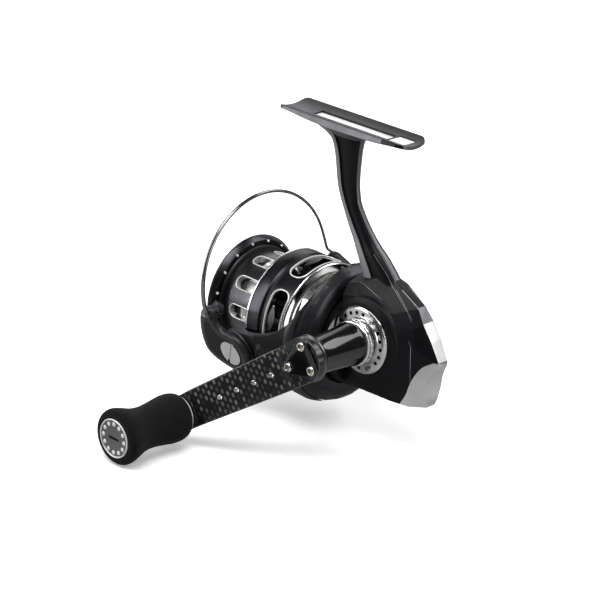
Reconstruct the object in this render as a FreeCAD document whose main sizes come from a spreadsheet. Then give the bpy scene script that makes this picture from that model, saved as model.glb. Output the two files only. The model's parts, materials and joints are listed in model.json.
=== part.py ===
"""Spinning reel: an assembly of named pieces in millimetres.

The row frame has +X towards the rod tip, +Y towards the handle and +Z up to the rod.
Its origin is the middle of the foot's saddle.
"""
import FreeCAD
import Part
import math
import os
import Sketcher

Vec = FreeCAD.Vector
Rot = FreeCAD.Rotation
doc = FreeCAD.newDocument("SpinningReel")

DRIVING = {
    # foot and stem
    "foot_length": 59.7, "foot_width": 13.6, "foot_thick": 2.3, "saddle_radius": 17.2,
    "slot_length": 36.0, "slot_width": 5.2, "slot_depth": 0.9,
    # main axes
    "shaft_drop": 77.6, "crank_x": -21.05, "crank_rise": 6.3,
    "osc_x": -33.19, "osc_rise": 1.6,
    # gearbox
    "case_half": 10.8, "case_taper": 9.0, "case_wall": 1.6, "cover_seam": 7.4,
    "nose_radius": 17.2, "nose_front": -3.6, "nose_bore": 15.6,
    # crank
    "crank_shaft_radius": 3.0, "gear_radius": 15.2, "gear_teeth": 30, "gear_tip": 2.3,
    "collar_radius": 8.4, "hub_start": 37.0, "hub_face": 38.5, "arm_thick": 2.5,
    "arm_length": 54.0, "arm_angle": 35.5, "arm_lean": 15.2, "arm_root_half": 8.2, "arm_tip_half": 6.4,
    # knob
    "knob_start": 56.6, "knob_end": 87.9,
    "knob_shaft_radius": 2.0,
    # rotor
    "rotor_phase": -18.0, "drum_radius": 20.4, "drum_bore": 18.7, "drum_front": 12.6,
    "shell_radius": 26.4, "shell_bore": 23.8, "shell_rear": -6.4,
    "pivot_x": 28.1, "pivot_z": -1.8, "arm_seat": 26.8, "lever_in": 27.1, "lever_out": 29.9,
    "pinion_pitch": 2.55, "pinion_teeth": 6,
    # bail
    "bail_radius": 30.2, "bail_shift": 5.0, "bail_rise": 20.0, "bail_tilt": 86.0, "wire_radius": 0.85,
    "roller_x": 8.5, "roller_z": 13.5, "roller_radius": 2.6,
    # spool
    "lip_radius": 22.4, "lip_x": 46.6, "skirt_front": 26.2, "skirt_rear": 7.9, "skirt_radius": 23.3,
    "arbor_radius": 17.75, "main_shaft_radius": 1.5, "stroke": 12.0,
    # running clearance of turning fits
    "run_gap": 0.05,
}

sheet = doc.addObject("Spreadsheet::Sheet", "Sizes")
for row, (alias, number) in enumerate(DRIVING.items(), start=1):
    sheet.set("A%d" % row, alias)
    sheet.set("B%d" % row, str(number))
    sheet.setAlias("B%d" % row, alias)
doc.recompute()


class Size:
    """A number together with the spreadsheet expression that gives it."""

    def __init__(self, value, text):
        self.value = float(value)
        self.text = text

    def __add__(self, other):
        other = as_size(other)
        return Size(self.value + other.value, "(%s + %s)" % (self.text, other.text))

    def __sub__(self, other):
        other = as_size(other)
        return Size(self.value - other.value, "(%s - %s)" % (self.text, other.text))

    def __mul__(self, other):
        other = as_size(other)
        return Size(self.value * other.value, "(%s * %s)" % (self.text, other.text))

    def __neg__(self):
        return self * -1

    def __radd__(self, other):
        return as_size(other) + self

    def __rsub__(self, other):
        return as_size(other) - self

    def __rmul__(self, other):
        return as_size(other) * self


def as_size(number):
    if isinstance(number, Size):
        return number
    return Size(number, "(%.4f)" % number)


def sz(name):
    return Size(DRIVING[name], "Sizes." + name)


PIECES = []


def keep(piece, label):
    """Name a finished sub-part and list it for export."""
    piece.Label = label
    PIECES.append(piece)
    return piece


def place(piece, base, rotation=None):
    base = [as_size(number) for number in base]
    corner = Vec(*[number.value for number in base])
    piece.Placement = FreeCAD.Placement(corner, rotation or Rot())
    for letter, number in zip("xyz", base):
        piece.setExpression("Placement.Base." + letter, number.text)


TO_CRANK = Rot(Vec(0, 0, 1), 90)
ROTOR_TURN = Rot(Vec(1, 0, 0), DRIVING["rotor_phase"])
ARM_TURN = Rot(Vec(0, 1, 0), DRIVING["arm_angle"]) * Rot(Vec(1, 0, 0), -90)
ARM_ALONG = ARM_TURN.multVec(Vec(1, 0, 0))
SHAFT_AT = (0, 0, -sz("shaft_drop"))
CRANK_AT = (sz("crank_x"), 0, sz("crank_rise") - sz("shaft_drop"))
OSC_AT = (sz("osc_x"), 0, sz("osc_rise") - sz("shaft_drop"))
KNOB_AT = (sz("crank_x") + sz("arm_length") * ARM_ALONG.x, 0,
           sz("crank_rise") - sz("shaft_drop") + sz("arm_length") * ARM_ALONG.z)
FRAMES = {
    "shaft": (SHAFT_AT, Rot()),
    "rotor": (SHAFT_AT, ROTOR_TURN),
    "crank": (CRANK_AT, TO_CRANK),
    "knob": (KNOB_AT, TO_CRANK),
    "osc": (OSC_AT, TO_CRANK),
    "arm": (CRANK_AT, ARM_TURN),
    "row": ((0, 0, 0), Rot()),
}


def new_body(label, frame, twist=0.0):
    """A PartDesign body in one of the named frames, turned by twist about its own X axis."""
    body = doc.addObject("PartDesign::Body", "Body_" + label)
    body.Label = label
    body.AllowCompound = True
    base, turn = FRAMES[frame]
    place(body, base, turn * Rot(Vec(1, 0, 0), twist))
    return body


def origin_part(body, role):
    return [part for part in body.Origin.OriginFeatures if part.Role == role][0]


def new_sketch(body, role, offset=None):
    sketch = body.newObject("Sketcher::SketchObject", "Sketch_" + body.Label)
    sketch.AttachmentSupport = [(origin_part(body, role), "")]
    sketch.MapMode = "FlatFace"
    if offset is not None:
        offset = as_size(offset)
        sketch.AttachmentOffset = FreeCAD.Placement(Vec(0, 0, offset.value), Rot())
        sketch.setExpression("AttachmentOffset.Base.z", offset.text)
    return sketch


def bind(sketch, kind, *args):
    """Add a dimension whose value follows its spreadsheet expression."""
    size = as_size(args[-1])
    index = sketch.addConstraint(Sketcher.Constraint(kind, *args[:-1], size.value))
    sketch.setExpression("Constraints[%d]" % index, size.text)


def polygon(sketch, corners):
    """A closed outline through corners, each fixed by its two coordinates."""
    corners = [(as_size(across), as_size(up)) for across, up in corners]
    first = sketch.GeometryCount
    spots = [Vec(across.value, up.value, 0) for across, up in corners]
    count = len(spots)
    lines = [Part.LineSegment(spots[i], spots[(i + 1) % count]) for i in range(count)]
    sketch.addGeometry(lines, False)
    for i in range(count):
        ahead = first + (i + 1) % count
        sketch.addConstraint(Sketcher.Constraint("Coincident", first + i, 2, ahead, 1))
    for i, (across, up) in enumerate(corners):
        bind(sketch, "DistanceX", -1, 1, first + i, 1, across)
        bind(sketch, "DistanceY", -1, 1, first + i, 1, up)


def circle(sketch, across, up, radius):
    across, up, radius = as_size(across), as_size(up), as_size(radius)
    index = sketch.GeometryCount
    middle = Vec(across.value, up.value, 0)
    sketch.addGeometry(Part.Circle(middle, Vec(0, 0, 1), radius.value), False)
    bind(sketch, "DistanceX", -1, 1, index, 3, across)
    bind(sketch, "DistanceY", -1, 1, index, 3, up)
    bind(sketch, "Radius", index, radius)


VOLUMES = {}


def finish(body, feature, grows):
    """Recompute and make sure that the feature really added or removed material."""
    body.Tip = feature
    doc.recompute()
    change = body.Shape.Volume - VOLUMES.get(body.Name, 0.0)
    VOLUMES[body.Name] = body.Shape.Volume
    if (change <= 1e-6) if grows else (change >= -1e-6):
        raise ValueError("%s: %s changed the volume by %g" % (body.Label, feature.Name, change))
    return feature


def pad(body, sketch, length, back=None, taper=None, flip=False):
    length = as_size(length)
    feature = body.newObject("PartDesign::Pad", "Pad_" + body.Label)
    feature.Profile = sketch
    feature.Reversed = flip
    feature.Length = length.value
    feature.setExpression("Length", length.text)
    if back is not None:
        back = as_size(back)
        feature.SideType = "Two sides"
        feature.Length2 = back.value
        feature.setExpression("Length2", back.text)
    if taper is not None:
        feature.TaperAngle = -taper.value
        feature.setExpression("TaperAngle", (-taper).text)
        if back is not None:
            feature.TaperAngle2 = -taper.value
            feature.setExpression("TaperAngle2", (-taper).text)
    return finish(body, feature, True)


def pocket(body, sketch, length, back=None, flip=False):
    length = as_size(length)
    feature = body.newObject("PartDesign::Pocket", "Pocket_" + body.Label)
    feature.Profile = sketch
    feature.Reversed = flip
    feature.Length = length.value
    feature.setExpression("Length", length.text)
    if back is not None:
        back = as_size(back)
        feature.SideType = "Two sides"
        feature.Length2 = back.value
        feature.setExpression("Length2", back.text)
    return finish(body, feature, False)


def repeat(body, feature, count, grows=False):
    """Repeat a feature evenly around the body's own X axis."""
    pattern = body.newObject("PartDesign::PolarPattern", "Ring_" + body.Label)
    pattern.Originals = [feature]
    pattern.Axis = (origin_part(body, "X_Axis"), [""])
    pattern.Angle = 360
    pattern.Occurrences = int(count)
    return finish(body, pattern, grows)


def turn(body, corners, angle=None, cut=False):
    """Revolve a profile of (along, radius) corners about the body's own X axis."""
    sketch = new_sketch(body, "XZ_Plane")
    polygon(sketch, corners)
    kind = "Groove" if cut else "Revolution"
    feature = body.newObject("PartDesign::" + kind, kind + "_" + body.Label)
    feature.Profile = sketch
    feature.ReferenceAxis = (sketch, ["H_Axis"])
    feature.Angle = 360 if angle is None else angle
    feature.Midplane = angle is not None
    return finish(body, feature, not cut)


def turned(label, frame, corners, twist=0.0):
    body = new_body(label, frame, twist)
    turn(body, corners)
    return body


def tube(label, frame, start, end, inner, outer):
    return turned(label, frame, [(start, inner), (start, outer), (end, outer), (end, inner)])


def shape_group(label, solids, frame):
    """One node of several identical loose solids, given in a frame's own coordinates."""
    base, rotation = FRAMES[frame]
    group = doc.addObject("Part::Feature", "Group_" + label)
    group.Shape = Part.makeCompound(solids)
    place(group, base, rotation)
    return keep(group, label)


def boolean(kind, label, base, tool):
    result = doc.addObject("Part::" + kind, kind + "_" + label)
    result.Base = base
    result.Tool = tool
    doc.recompute()
    return result


def disc(start, end, radius, across=0.0, up=0.0):
    return Part.makeCylinder(radius, end - start, Vec(start, across, up), Vec(1, 0, 0))


# ---------------------------------------------------------------- gearbox, stem and foot
foot_half = sz("foot_length") * 0.5
box = new_body("gearbox", "row")
side = new_sketch(box, "XZ_Plane")
CASE = [(-8.2, -52.5), (-11.0, -49.0), (-21.0, -45.2), (-30.0, -52.4), (-38.9, -62.3), (-50.3, -72.8),
        (-47.6, -76.2), (-44.9, -88.0), (-40.5, -93.2), (-14.0, -92.6), (-8.2, -88.5)]
polygon(side, CASE)
pad(box, side, sz("case_half"), back=sz("case_half"), taper=sz("case_taper"))
plan = new_sketch(box, "XY_Plane", -100.0)
polygon(plan, [(-30.0, 11.5), (-60.0, 11.5), (-60.0, 3.2)])
polygon(plan, [(-30.0, -11.5), (-60.0, -11.5), (-60.0, -3.2)])
pocket(box, plan, 60.0, flip=True)

# The stem is lofted through eight-sided sections that lean back on the way down.
STEM = [(-1.9, -5.6, 9.0, 4.6), (-5.5, -5.3, 6.4, 4.1), (-11.0, -4.9, 5.1, 3.6), (-21.0, -4.7, 3.5, 3.1),
        (-30.0, -6.9, 0.1, 2.9), (-38.5, -12.6, -4.6, 3.2), (-46.0, -22.0, -9.4, 4.2),
        (-54.0, -30.6, -11.0, 6.2)]
stem = new_body("stem", "row")
sections = []
for height, rear, front, half in STEM:
    section = new_sketch(stem, "XY_Plane", height)
    bevel = half * 0.45
    polygon(section, [(rear + bevel, -half), (front - bevel, -half), (front, -half + bevel),
                      (front, half - bevel), (front - bevel, half), (rear + bevel, half),
                      (rear, half - bevel), (rear, -half + bevel)])
    sections.append(section)
loft = stem.newObject("PartDesign::AdditiveLoft", "Loft_stem")
loft.Profile = sections[0]
loft.Sections = sections[1:]
finish(stem, loft, True)

foot = new_body("foot", "row")
long_section = new_sketch(foot, "XZ_Plane")
thick = sz("foot_thick")
polygon(long_section, [(-foot_half, 0), (foot_half, 0), (foot_half, -1.0), (foot_half - 12.0, -thick),
                       (12.0, -thick - 0.5), (-8.0, -thick - 0.5), (-foot_half + 10.0, -thick),
                       (-foot_half, -1.2)])
index = long_section.GeometryCount
radius = DRIVING["saddle_radius"]
long_section.addGeometry(Part.LineSegment(Vec(-40, radius, 0), Vec(40, radius, 0)), True)
long_section.addConstraint(Sketcher.Constraint("Horizontal", index))
bind(long_section, "DistanceX", -1, 1, index, 1, -40.0)
bind(long_section, "DistanceX", -1, 1, index, 2, 40.0)
bind(long_section, "DistanceY", -1, 1, index, 1, sz("saddle_radius"))
saddle = foot.newObject("PartDesign::Revolution", "Revolution_foot")
saddle.Profile = long_section
saddle.ReferenceAxis = (long_section, ["Axis0"])
saddle.Angle = 2 * math.degrees(math.asin(DRIVING["foot_width"] / 2 / radius))
saddle.setExpression("Angle", "2 * asin(Sizes.foot_width / 2 / Sizes.saddle_radius)")
saddle.Midplane = True
finish(foot, saddle, True)
# The corners of the toes are cut away: a light bevel in front and a heavy one behind.
corners = new_sketch(foot, "XY_Plane", 4.0)
foot_edge = sz("foot_width") * 0.5
for way in (1, -1):
    polygon(corners, [(foot_half + 1, way * (foot_edge + 1)), (foot_half - 1.8, way * (foot_edge + 1)),
                      (foot_half - 1.8, way * foot_edge), (foot_half, way * (foot_edge - 1.8)),
                      (foot_half + 1, way * (foot_edge - 1.8))])
    polygon(corners, [(-foot_half - 1, way * (foot_edge + 1)), (-foot_half + 4.2, way * (foot_edge + 1)),
                      (-foot_half + 4.2, way * foot_edge), (-foot_half + 1.2, way * (foot_edge - 1.6)),
                      (-foot_half, way * (foot_edge - 4.2)), (-foot_half - 1, way * (foot_edge - 4.2))])
pocket(foot, corners, 14.0)
slot = new_sketch(foot, "XY_Plane", 2.0)
slot_half = sz("slot_width") * 0.5
polygon(slot, [(-18.8, -slot_half), (-18.8 + sz("slot_length"), -slot_half),
               (-18.8 + sz("slot_length"), slot_half), (-18.8, slot_half)])
pocket(foot, slot, 2.0 + sz("slot_depth"))
label_seat = new_sketch(foot, "XY_Plane", 2.0)
polygon(label_seat, [(-27.2, -3.2), (-19.8, -3.2), (-19.8, 3.2), (-27.2, 3.2)])
pocket(foot, label_seat, 2.3)

nose = turned("nose", "shaft", [(-12.0, 0), (-12.0, sz("nose_radius")),
                                (sz("nose_front") - 1.0, sz("nose_radius")),
                                (sz("nose_front"), sz("nose_radius") - 1.0), (sz("nose_front"), 12.0),
                                (-2.3, 12.0), (-2.3, 0)])

# Inside: the gear room, the slide room, the drive gear's recess and the bores of the bearings.
room = new_body("room", "row")
inner = new_sketch(room, "XZ_Plane", -sz("cover_seam"))
INSIDE = [(-9.9, -54.0), (-22.0, -49.5), (-29.5, -55.0), (-38.2, -64.6), (-44.6, -70.6),
          (-44.0, -86.5), (-39.5, -90.6), (-14.5, -90.2), (-9.9, -87.0)]
polygon(inner, INSIDE)
pad(room, inner, 7.4 + 7.0)
gear_room = tube("gear_room", "crank", 1.4, 6.2, 0, sz("gear_radius") + 0.5)
nose_room = tube("nose_room", "shaft", -11.0, -5.0, 0, 9.0)
pinion_bore = tube("pinion_bore", "shaft", -5.2, -2.0, 0, 6.5)
shaft_bore = tube("shaft_bore", "crank", -sz("case_half") - 1, 2.0, 0, 5.5)
cover_bore = tube("cover_bore", "crank", 5.0, 14.0, 0, 5.5)
ring_room = tube("ring_room", "crank", 11.3, 19.0, 0, 12.8)


def merge(label, pieces):
    result = doc.addObject("Part::MultiFuse", "Fuse_" + label)
    result.Shapes = pieces
    doc.recompute()
    return result


solid_case = merge("solid_case", [box, stem, foot, nose])
cuts = merge("cuts", [room, gear_room, nose_room, pinion_bore, shaft_bore, cover_bore, ring_room])
hollow = boolean("Cut", "hollow_case", solid_case, cuts)

# The tail cap and the bright rear strip are parts of the outer form that come off.
tail_block = new_body("tail_block", "row")
tail_side = new_sketch(tail_block, "XZ_Plane")
polygon(tail_side, [(-36.5, -96.0), (-37.6, -91.0), (-40.4, -84.4), (-43.4, -79.4), (-45.6, -76.0),
                    (-47.2, -76.0), (-52.5, -72.6), (-52.5, -96.0)])
pad(tail_block, tail_side, 12.0, back=12.0)
strip_block = new_body("strip_block", "row")
strip_side = new_sketch(strip_block, "XZ_Plane")
polygon(strip_side, [(-33.4, -53.4), (-30.4, -56.2), (-37.0, -63.6), (-47.2, -73.2), (-47.2, -76.0),
                     (-52.5, -72.6), (-52.5, -70.0), (-38.9, -59.4)])
pad(strip_block, strip_side, 12.0, back=12.0)
cover_block = new_body("cover_block", "row")
cover_side = new_sketch(cover_block, "XZ_Plane", -sz("cover_seam"))
polygon(cover_side, [(-4.0, -50.8), (-13.0, -50.8), (-24.0, -53.6), (-52.5, -79.0),
                     (-52.5, -96.0), (-4.0, -96.0)])
pad(cover_block, cover_side, 8.0, flip=True)

tail_cap = keep(boolean("Common", "tail_cap", hollow, tail_block), "tail_cap")
rest = boolean("Cut", "without_tail", hollow, tail_block)
rear_trim = keep(boolean("Common", "rear_trim", rest, strip_block), "rear_trim")
rest = boolean("Cut", "without_strip", rest, strip_block)
cover_raw = boolean("Common", "cover_raw", rest, cover_block)
housing = keep(boolean("Cut", "housing", rest, cover_block), "housing")

# A conical boss on the cover carries the chrome ring around the crank.
cover_boss = turned("cover_boss", "crank", [(8.4, 5.5), (8.4, 15.4), (10.2, 15.2),
                                            (11.3, 13.4), (11.3, 5.5)])
side_cover = keep(merge("side_cover", [cover_raw, cover_boss]), "side_cover")

# ---------------------------------------------------------------- trim of the housing
label_plate = new_body("foot_label", "row")
label_sketch = new_sketch(label_plate, "XY_Plane", -0.3)
polygon(label_sketch, [(-27.0, -3.0), (-20.0, -3.0), (-20.0, 3.0), (-27.0, 3.0)])
pad(label_plate, label_sketch, 0.3)
keep(label_plate, "foot_label")

ring = turned("cover_ring", "crank", [(11.3, 4.4), (11.3, 12.2), (11.9, 12.4), (12.5, 12.3), (12.9, 11.6),
                                      (13.2, 8.9), (13.2, 4.4)])
# Three screws share the ring's hole circle with three groups of five blind holes.
RING_SCREW_TURNS = (58.0, 178.0, 298.0)
HOLE_CIRCLE = 10.1
HOLE_STEP = 360.0 / 21


def around(radius, angles):
    return [(radius * math.cos(math.radians(a)), radius * math.sin(math.radians(a))) for a in angles]


ring_holes = new_sketch(ring, "YZ_Plane", 13.3)
for across, up in around(HOLE_CIRCLE,
                         [RING_SCREW_TURNS[0] + (1.5 + step) * HOLE_STEP for step in range(5)]):
    circle(ring_holes, across, up, 0.62)
repeat(ring, pocket(ring, ring_holes, 1.2), 3)
screw_bore = new_sketch(ring, "YZ_Plane", 13.3)
circle(screw_bore, *around(HOLE_CIRCLE, RING_SCREW_TURNS)[0], 0.55)
repeat(ring, pocket(ring, screw_bore, 0.7), 3)
keep(ring, "cover_ring")


def screw_head(start, end, radius, across, up, shank_end, shank_radius):
    """A small screw along X: a head, its shank behind it and a cross recess."""
    head = disc(start, end, radius, across, up)
    shank = disc(min(shank_end, start), max(shank_end, start), shank_radius, across, up)
    screw = head.fuse(shank)
    for turn_angle in (0, 90):
        blade = Part.makeBox(0.4, radius * 1.2, 0.3, Vec(end - 0.4, -radius * 0.6, -0.15))
        blade.rotate(Vec(0, 0, 0), Vec(1, 0, 0), turn_angle)
        blade.translate(Vec(0, across, up))
        screw = screw.cut(blade)
    return screw.removeSplitter()


ring_screws = [screw_head(13.2, 13.7, 0.95, y, z, 12.7, 0.55) for y, z in around(HOLE_CIRCLE,
    RING_SCREW_TURNS)]
shape_group("ring_screws", ring_screws, "crank")

bearing_gap = DRIVING["run_gap"]
crank_radius = DRIVING["crank_shaft_radius"]
bearings = [disc(a, b, 5.5).cut(disc(a, b, crank_radius + bearing_gap))
            for a, b in ((-10.4, -7.9), (8.2, 10.7))]
shape_group("crank_bearings", bearings, "crank")
tube_radius = 2.9
pinion_bearings = [disc(-5.0, -2.5, 6.5).cut(disc(-5.0, -2.5, tube_radius + bearing_gap)),
                   disc(-17.2, -14.7, 3.1).cut(disc(-17.2, -14.7, 2.2 + bearing_gap))]
shape_group("pinion_bearings", pinion_bearings, "shaft")

# A bracket on the inner wall holds the rear pinion bearing and stands clear of both shafts.
bracket = new_body("pinion_bracket", "shaft")
bracket_face = new_sketch(bracket, "YZ_Plane", -17.2)
polygon(bracket_face, [(-6.95, -6.2), (2.2, -6.2), (2.2, 3.6), (-3.0, 3.6), (-3.7, 1.6), (-6.95, 1.0)])
pad(bracket, bracket_face, 2.5)
bracket_bore = new_sketch(bracket, "YZ_Plane", -18.0)
circle(bracket_bore, 0, 0, 3.1)
pocket(bracket, bracket_bore, 4.0, flip=True)
keep(bracket, "pinion_bracket")

side_cap = turned("crank_end_cap", "crank", [(-12.6, 0), (-12.6, 4.6), (-11.9, 5.8),
                                             (-10.85, 5.8), (-10.85, 0)])
coin = new_sketch(side_cap, "YZ_Plane", -13.0)
polygon(coin, [(-3.6, -0.5), (3.6, -0.5), (3.6, 0.5), (-3.6, 0.5)])
pocket(side_cap, coin, 1.2, flip=True)
keep(side_cap, "crank_end_cap")

COVER_SCREWS = ((-13.5, -83.5), (-32.0, -85.5), (-26.0, -63.0))
case_screws = []
for across, up in COVER_SCREWS:
    screw = screw_head(10.0, 10.7, 1.7, 0, 0, 7.5, 0.9)
    screw.rotate(Vec(0, 0, 0), Vec(0, 0, 1), -90)
    screw.translate(Vec(across, 0, up))
    case_screws.append(screw)
shape_group("case_screws", case_screws, "row")

# ---------------------------------------------------------------- one-way clutch around the pinion
clutch = turned("clutch_housing", "shaft", [(-2.2, 8.0), (-2.2, 11.4), (4.4, 11.4), (4.4, 8.0)])
keep(clutch, "clutch_housing")
keep(turned("clutch_plate", "shaft", [(4.5, 5.7), (4.5, 11.4), (5.3, 11.0), (5.3, 5.7)]), "clutch_plate")
rollers = [disc(-1.9, 4.2, 1.3, y, z) for y, z in around(6.62, range(0, 360, 60))]
shape_group("clutch_rollers", rollers, "shaft")

# ---------------------------------------------------------------- crank: shaft, gears, handle arm
shaft_r = sz("crank_shaft_radius")
hub_face = sz("hub_face")
drive_shaft = turned("drive_shaft", "crank", [(-10.4, 0), (-10.4, shaft_r),
                                              (hub_face, shaft_r), (hub_face, 0)])
keep(drive_shaft, "drive_shaft")

gear_tip = sz("gear_tip")
gear_r = sz("gear_radius")
drive_gear = turned("drive_gear", "crank", [(gear_tip, gear_r - 2.2), (gear_tip, gear_r), (5.4, gear_r),
                                            (5.4, 6.0), (7.1, 6.0), (7.1, shaft_r),
                                            (gear_tip + 1, shaft_r),
                                            (gear_tip + 1, gear_r - 2.2)])
tooth_gap = new_sketch(drive_gear, "YZ_Plane", gear_tip - 0.2)
polygon(tooth_gap, [(-17.0, -sz("crank_rise") - 0.85), (-8.5, -sz("crank_rise") - 0.85),
                    (-8.5, -sz("crank_rise") + 0.85), (-17.0, -sz("crank_rise") + 0.85)])
gap = pocket(drive_gear, tooth_gap, 1.2, flip=True)
repeat(drive_gear, gap, DRIVING["gear_teeth"])
keep(drive_gear, "drive_gear")


def spur(label, frame, start, end, bore, root, tip, teeth, twist):
    """A small spur gear whose first tooth gap points along the body's own Z axis."""
    body = new_body(label, frame, twist)
    turn(body, [(start, bore), (start, tip), (end, tip), (end, bore)])
    face = new_sketch(body, "YZ_Plane", start - 0.2)
    polygon(face, [(-0.45, root), (0.45, root), (0.85, tip + 0.3), (-0.85, tip + 0.3)])
    space = pocket(body, face, end - start + 0.4, flip=True)
    repeat(body, space, teeth)
    return body


# One gap of the small gear and one tooth of the large gear lie on the line between their centres.
centre_line = math.degrees(math.atan2(DRIVING["osc_x"] - DRIVING["crank_x"],
                                      DRIVING["osc_rise"] - DRIVING["crank_rise"]))
keep(spur("oscillation_pinion", "crank", -6.2, -4.0, shaft_r, 4.25, 5.5, 15, centre_line),
     "oscillation_pinion")

OSC_TEETH = 24
osc_twist = centre_line + 180.0 + 180.0 / OSC_TEETH
osc_gear = spur("oscillation_gear", "osc", -6.2, -4.1, 1.55, 7.25, 8.5, OSC_TEETH, osc_twist)
# Its crank pin points straight forward, where the slider stands at the front end of its stroke.
pin_face = new_sketch(osc_gear, "YZ_Plane", -4.1)
pin_reach = DRIVING["stroke"] / 2
circle(pin_face, -pin_reach * math.cos(math.radians(osc_twist)),
       pin_reach * math.sin(math.radians(osc_twist)), 1.0)
pad(osc_gear, pin_face, 0.25)
keep(osc_gear, "oscillation_gear")
keep(turned("oscillation_post", "osc", [(-7.0, 0), (-7.0, 2.6), (-6.4, 2.6), (-6.4, 1.5),
                                        (-4.2, 1.5), (-4.2, 0)]), "oscillation_post")

collar_r = sz("collar_radius")
keep(turned("crank_collar", "crank", [(13.6, shaft_r), (13.6, collar_r - 0.8), (14.4, collar_r),
                                      (16.9, collar_r),
                                      (17.3, collar_r - 0.4), (17.3, shaft_r)]), "crank_collar")
hub_start = sz("hub_start")
keep(turned("crank_boss", "crank", [(17.3, shaft_r), (17.3, 7.9), (20.5, 7.6), (30.0, 6.7),
                                    (hub_start - 1.2, 6.9),
                                    (hub_start, 7.3), (hub_start, shaft_r)]), "crank_boss")
keep(turned("arm_hub", "crank", [(hub_start, shaft_r), (hub_start, 8.0), (hub_start + 0.4, 8.4),
                                 (hub_face - 0.4, 8.4), (hub_face, 7.9), (hub_face, shaft_r)]), "arm_hub")

arm = new_body("handle_arm", "arm")
arm_side = new_sketch(arm, "XZ_Plane")
length = sz("arm_length")
lean = sz("arm_lean")
arm_t = sz("arm_thick")
polygon(arm_side, [(-8.6, hub_face), (10.8, hub_face), (14.0, hub_face + 0.9),
                   (length - 10.5, hub_face + lean - 0.9), (length - 7.0, hub_face + lean),
                   (length + 6.6, hub_face + lean),
                   (length + 6.6, hub_face + lean + arm_t), (length - 7.6, hub_face + lean + arm_t),
                   (length - 11.1, hub_face + lean + arm_t - 0.9), (13.4, hub_face + arm_t + 0.9),
                   (10.2, hub_face + arm_t), (-8.6, hub_face + arm_t)])
root_half = sz("arm_root_half")
tip_half = sz("arm_tip_half")
pad(arm, arm_side, root_half + 1, back=root_half + 1)
outline = new_sketch(arm, "XY_Plane", hub_face - 2)
FAN = [(-0.2, 1.0), (-0.42, 0.92), (-0.72, 0.72), (-0.92, 0.42), (-1.0, 0.0)]
plan_points = [(length, -tip_half), (10.0, -root_half + 0.4)]
plan_points += [(root_half * along, root_half * -across) for along, across in FAN]
plan_points += [(root_half * along, root_half * across) for along, across in reversed(FAN[:-1])]
plan_points += [(10.0, root_half - 0.4), (length, tip_half)]
plan_points += [(length - tip_half * along, tip_half * across) for along, across in FAN[1:]]
plan_points += [(length - tip_half * along, -tip_half * across) for along, across in reversed(FAN[1:-1])]
polygon(outline, plan_points)
polygon(outline, [(-20.0, -20.0), (length + 20.0, -20.0), (length + 20.0, 20.0), (-20.0, 20.0)])
pocket(arm, outline, 30.0, flip=True)
shaft_hole = new_sketch(arm, "XY_Plane", hub_face + lean - 1)
circle(shaft_hole, length, 0, sz("knob_shaft_radius"))
pocket(arm, shaft_hole, arm_t + 2, flip=True)
light_holes = new_sketch(arm, "XY_Plane", hub_face - 2)
for along in (15.6, 22.4, 29.0, 35.6):
    circle(light_holes, along, 0, 0.95)
pocket(arm, light_holes, 30.0, flip=True)
keep(arm, "handle_arm")

PLATE_SCREWS = [(-3.2, -4.5), (7.0, 0.0), (-3.2, 4.5)]
plate = new_body("arm_plate", "arm")
plate_face = new_sketch(plate, "XY_Plane", hub_face + arm_t)
polygon(plate_face, [(-5.9, -5.6), (-5.0, -6.9), (-3.2, -7.3), (-1.6, -6.8), (7.9, -2.4), (9.5, -1.0),
                     (9.5, 1.0), (7.9, 2.4), (-1.6, 6.8), (-3.2, 7.3), (-5.0, 6.9), (-5.9, 5.6)])
pad(plate, plate_face, 1.0)
plate_holes = new_sketch(plate, "XY_Plane", hub_face + arm_t - 1)
for along, across in PLATE_SCREWS:
    circle(plate_holes, along, across, 0.95)
pocket(plate, plate_holes, 3.0, flip=True)
keep(plate, "arm_plate")

arm_top = DRIVING["hub_face"] + DRIVING["arm_thick"]
plate_screws = []
for along, across in PLATE_SCREWS:
    head = Part.makeCylinder(1.75, 0.9, Vec(along, across, arm_top + 1.0))
    shank = Part.makeCylinder(0.95, 1.0, Vec(along, across, arm_top))
    key = Part.makeCylinder(0.85, 0.7, Vec(along, across, arm_top + 1.3))
    plate_screws.append(head.fuse(shank).cut(key).removeSplitter())
shape_group("arm_screws", plate_screws, "arm")

pin_r = sz("knob_shaft_radius")
knob_start = sz("knob_start")
keep(turned("knob_shaft", "knob", [(hub_face + lean - 0.9, 0), (hub_face + lean - 0.9, 3.4),
                                   (hub_face + lean, 3.4), (hub_face + lean, pin_r),
                                   (82.0, pin_r), (82.0, 0)]), "knob_shaft")

# ---------------------------------------------------------------- knob
bore = pin_r + 1.2
core_end = sz("knob_end") - 2.6
keep(turned("knob_washer", "knob", [(knob_start, 3.4), (knob_start, 7.0), (knob_start + 0.3, 7.3),
                                    (knob_start + 0.8, 7.3), (knob_start + 0.8, 3.4)]), "knob_washer")
keep(turned("knob_core", "knob", [(knob_start + 0.8, bore), (knob_start + 0.8, 5.2), (core_end, 5.2),
                                  (core_end, 0), (core_end - 2.0, 0), (core_end - 2.0, bore)]), "knob_core")
knob_bearings = [disc(a, a + 2.5, 3.2).cut(disc(a, a + 2.5, DRIVING["knob_shaft_radius"] + bearing_gap))
                 for a in (57.6, 78.0)]
shape_group("knob_bearings", knob_bearings, "knob")
GRIP = [(0.8, 7.4), (1.6, 8.2), (3.9, 8.8), (6.9, 8.8), (10.4, 8.3), (14.4, 7.8), (17.9, 7.7),
        (21.4, 8.2), (24.9, 9.3), (27.9, 10.2), (29.7, 10.0), (30.7, 9.0), (31.0, 7.5),
        (28.5, 7.5), (28.5, 5.2), (0.8, 5.2)]
keep(turned("knob_grip", "knob", [(knob_start + along, radius) for along, radius in GRIP]), "knob_grip")
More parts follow.
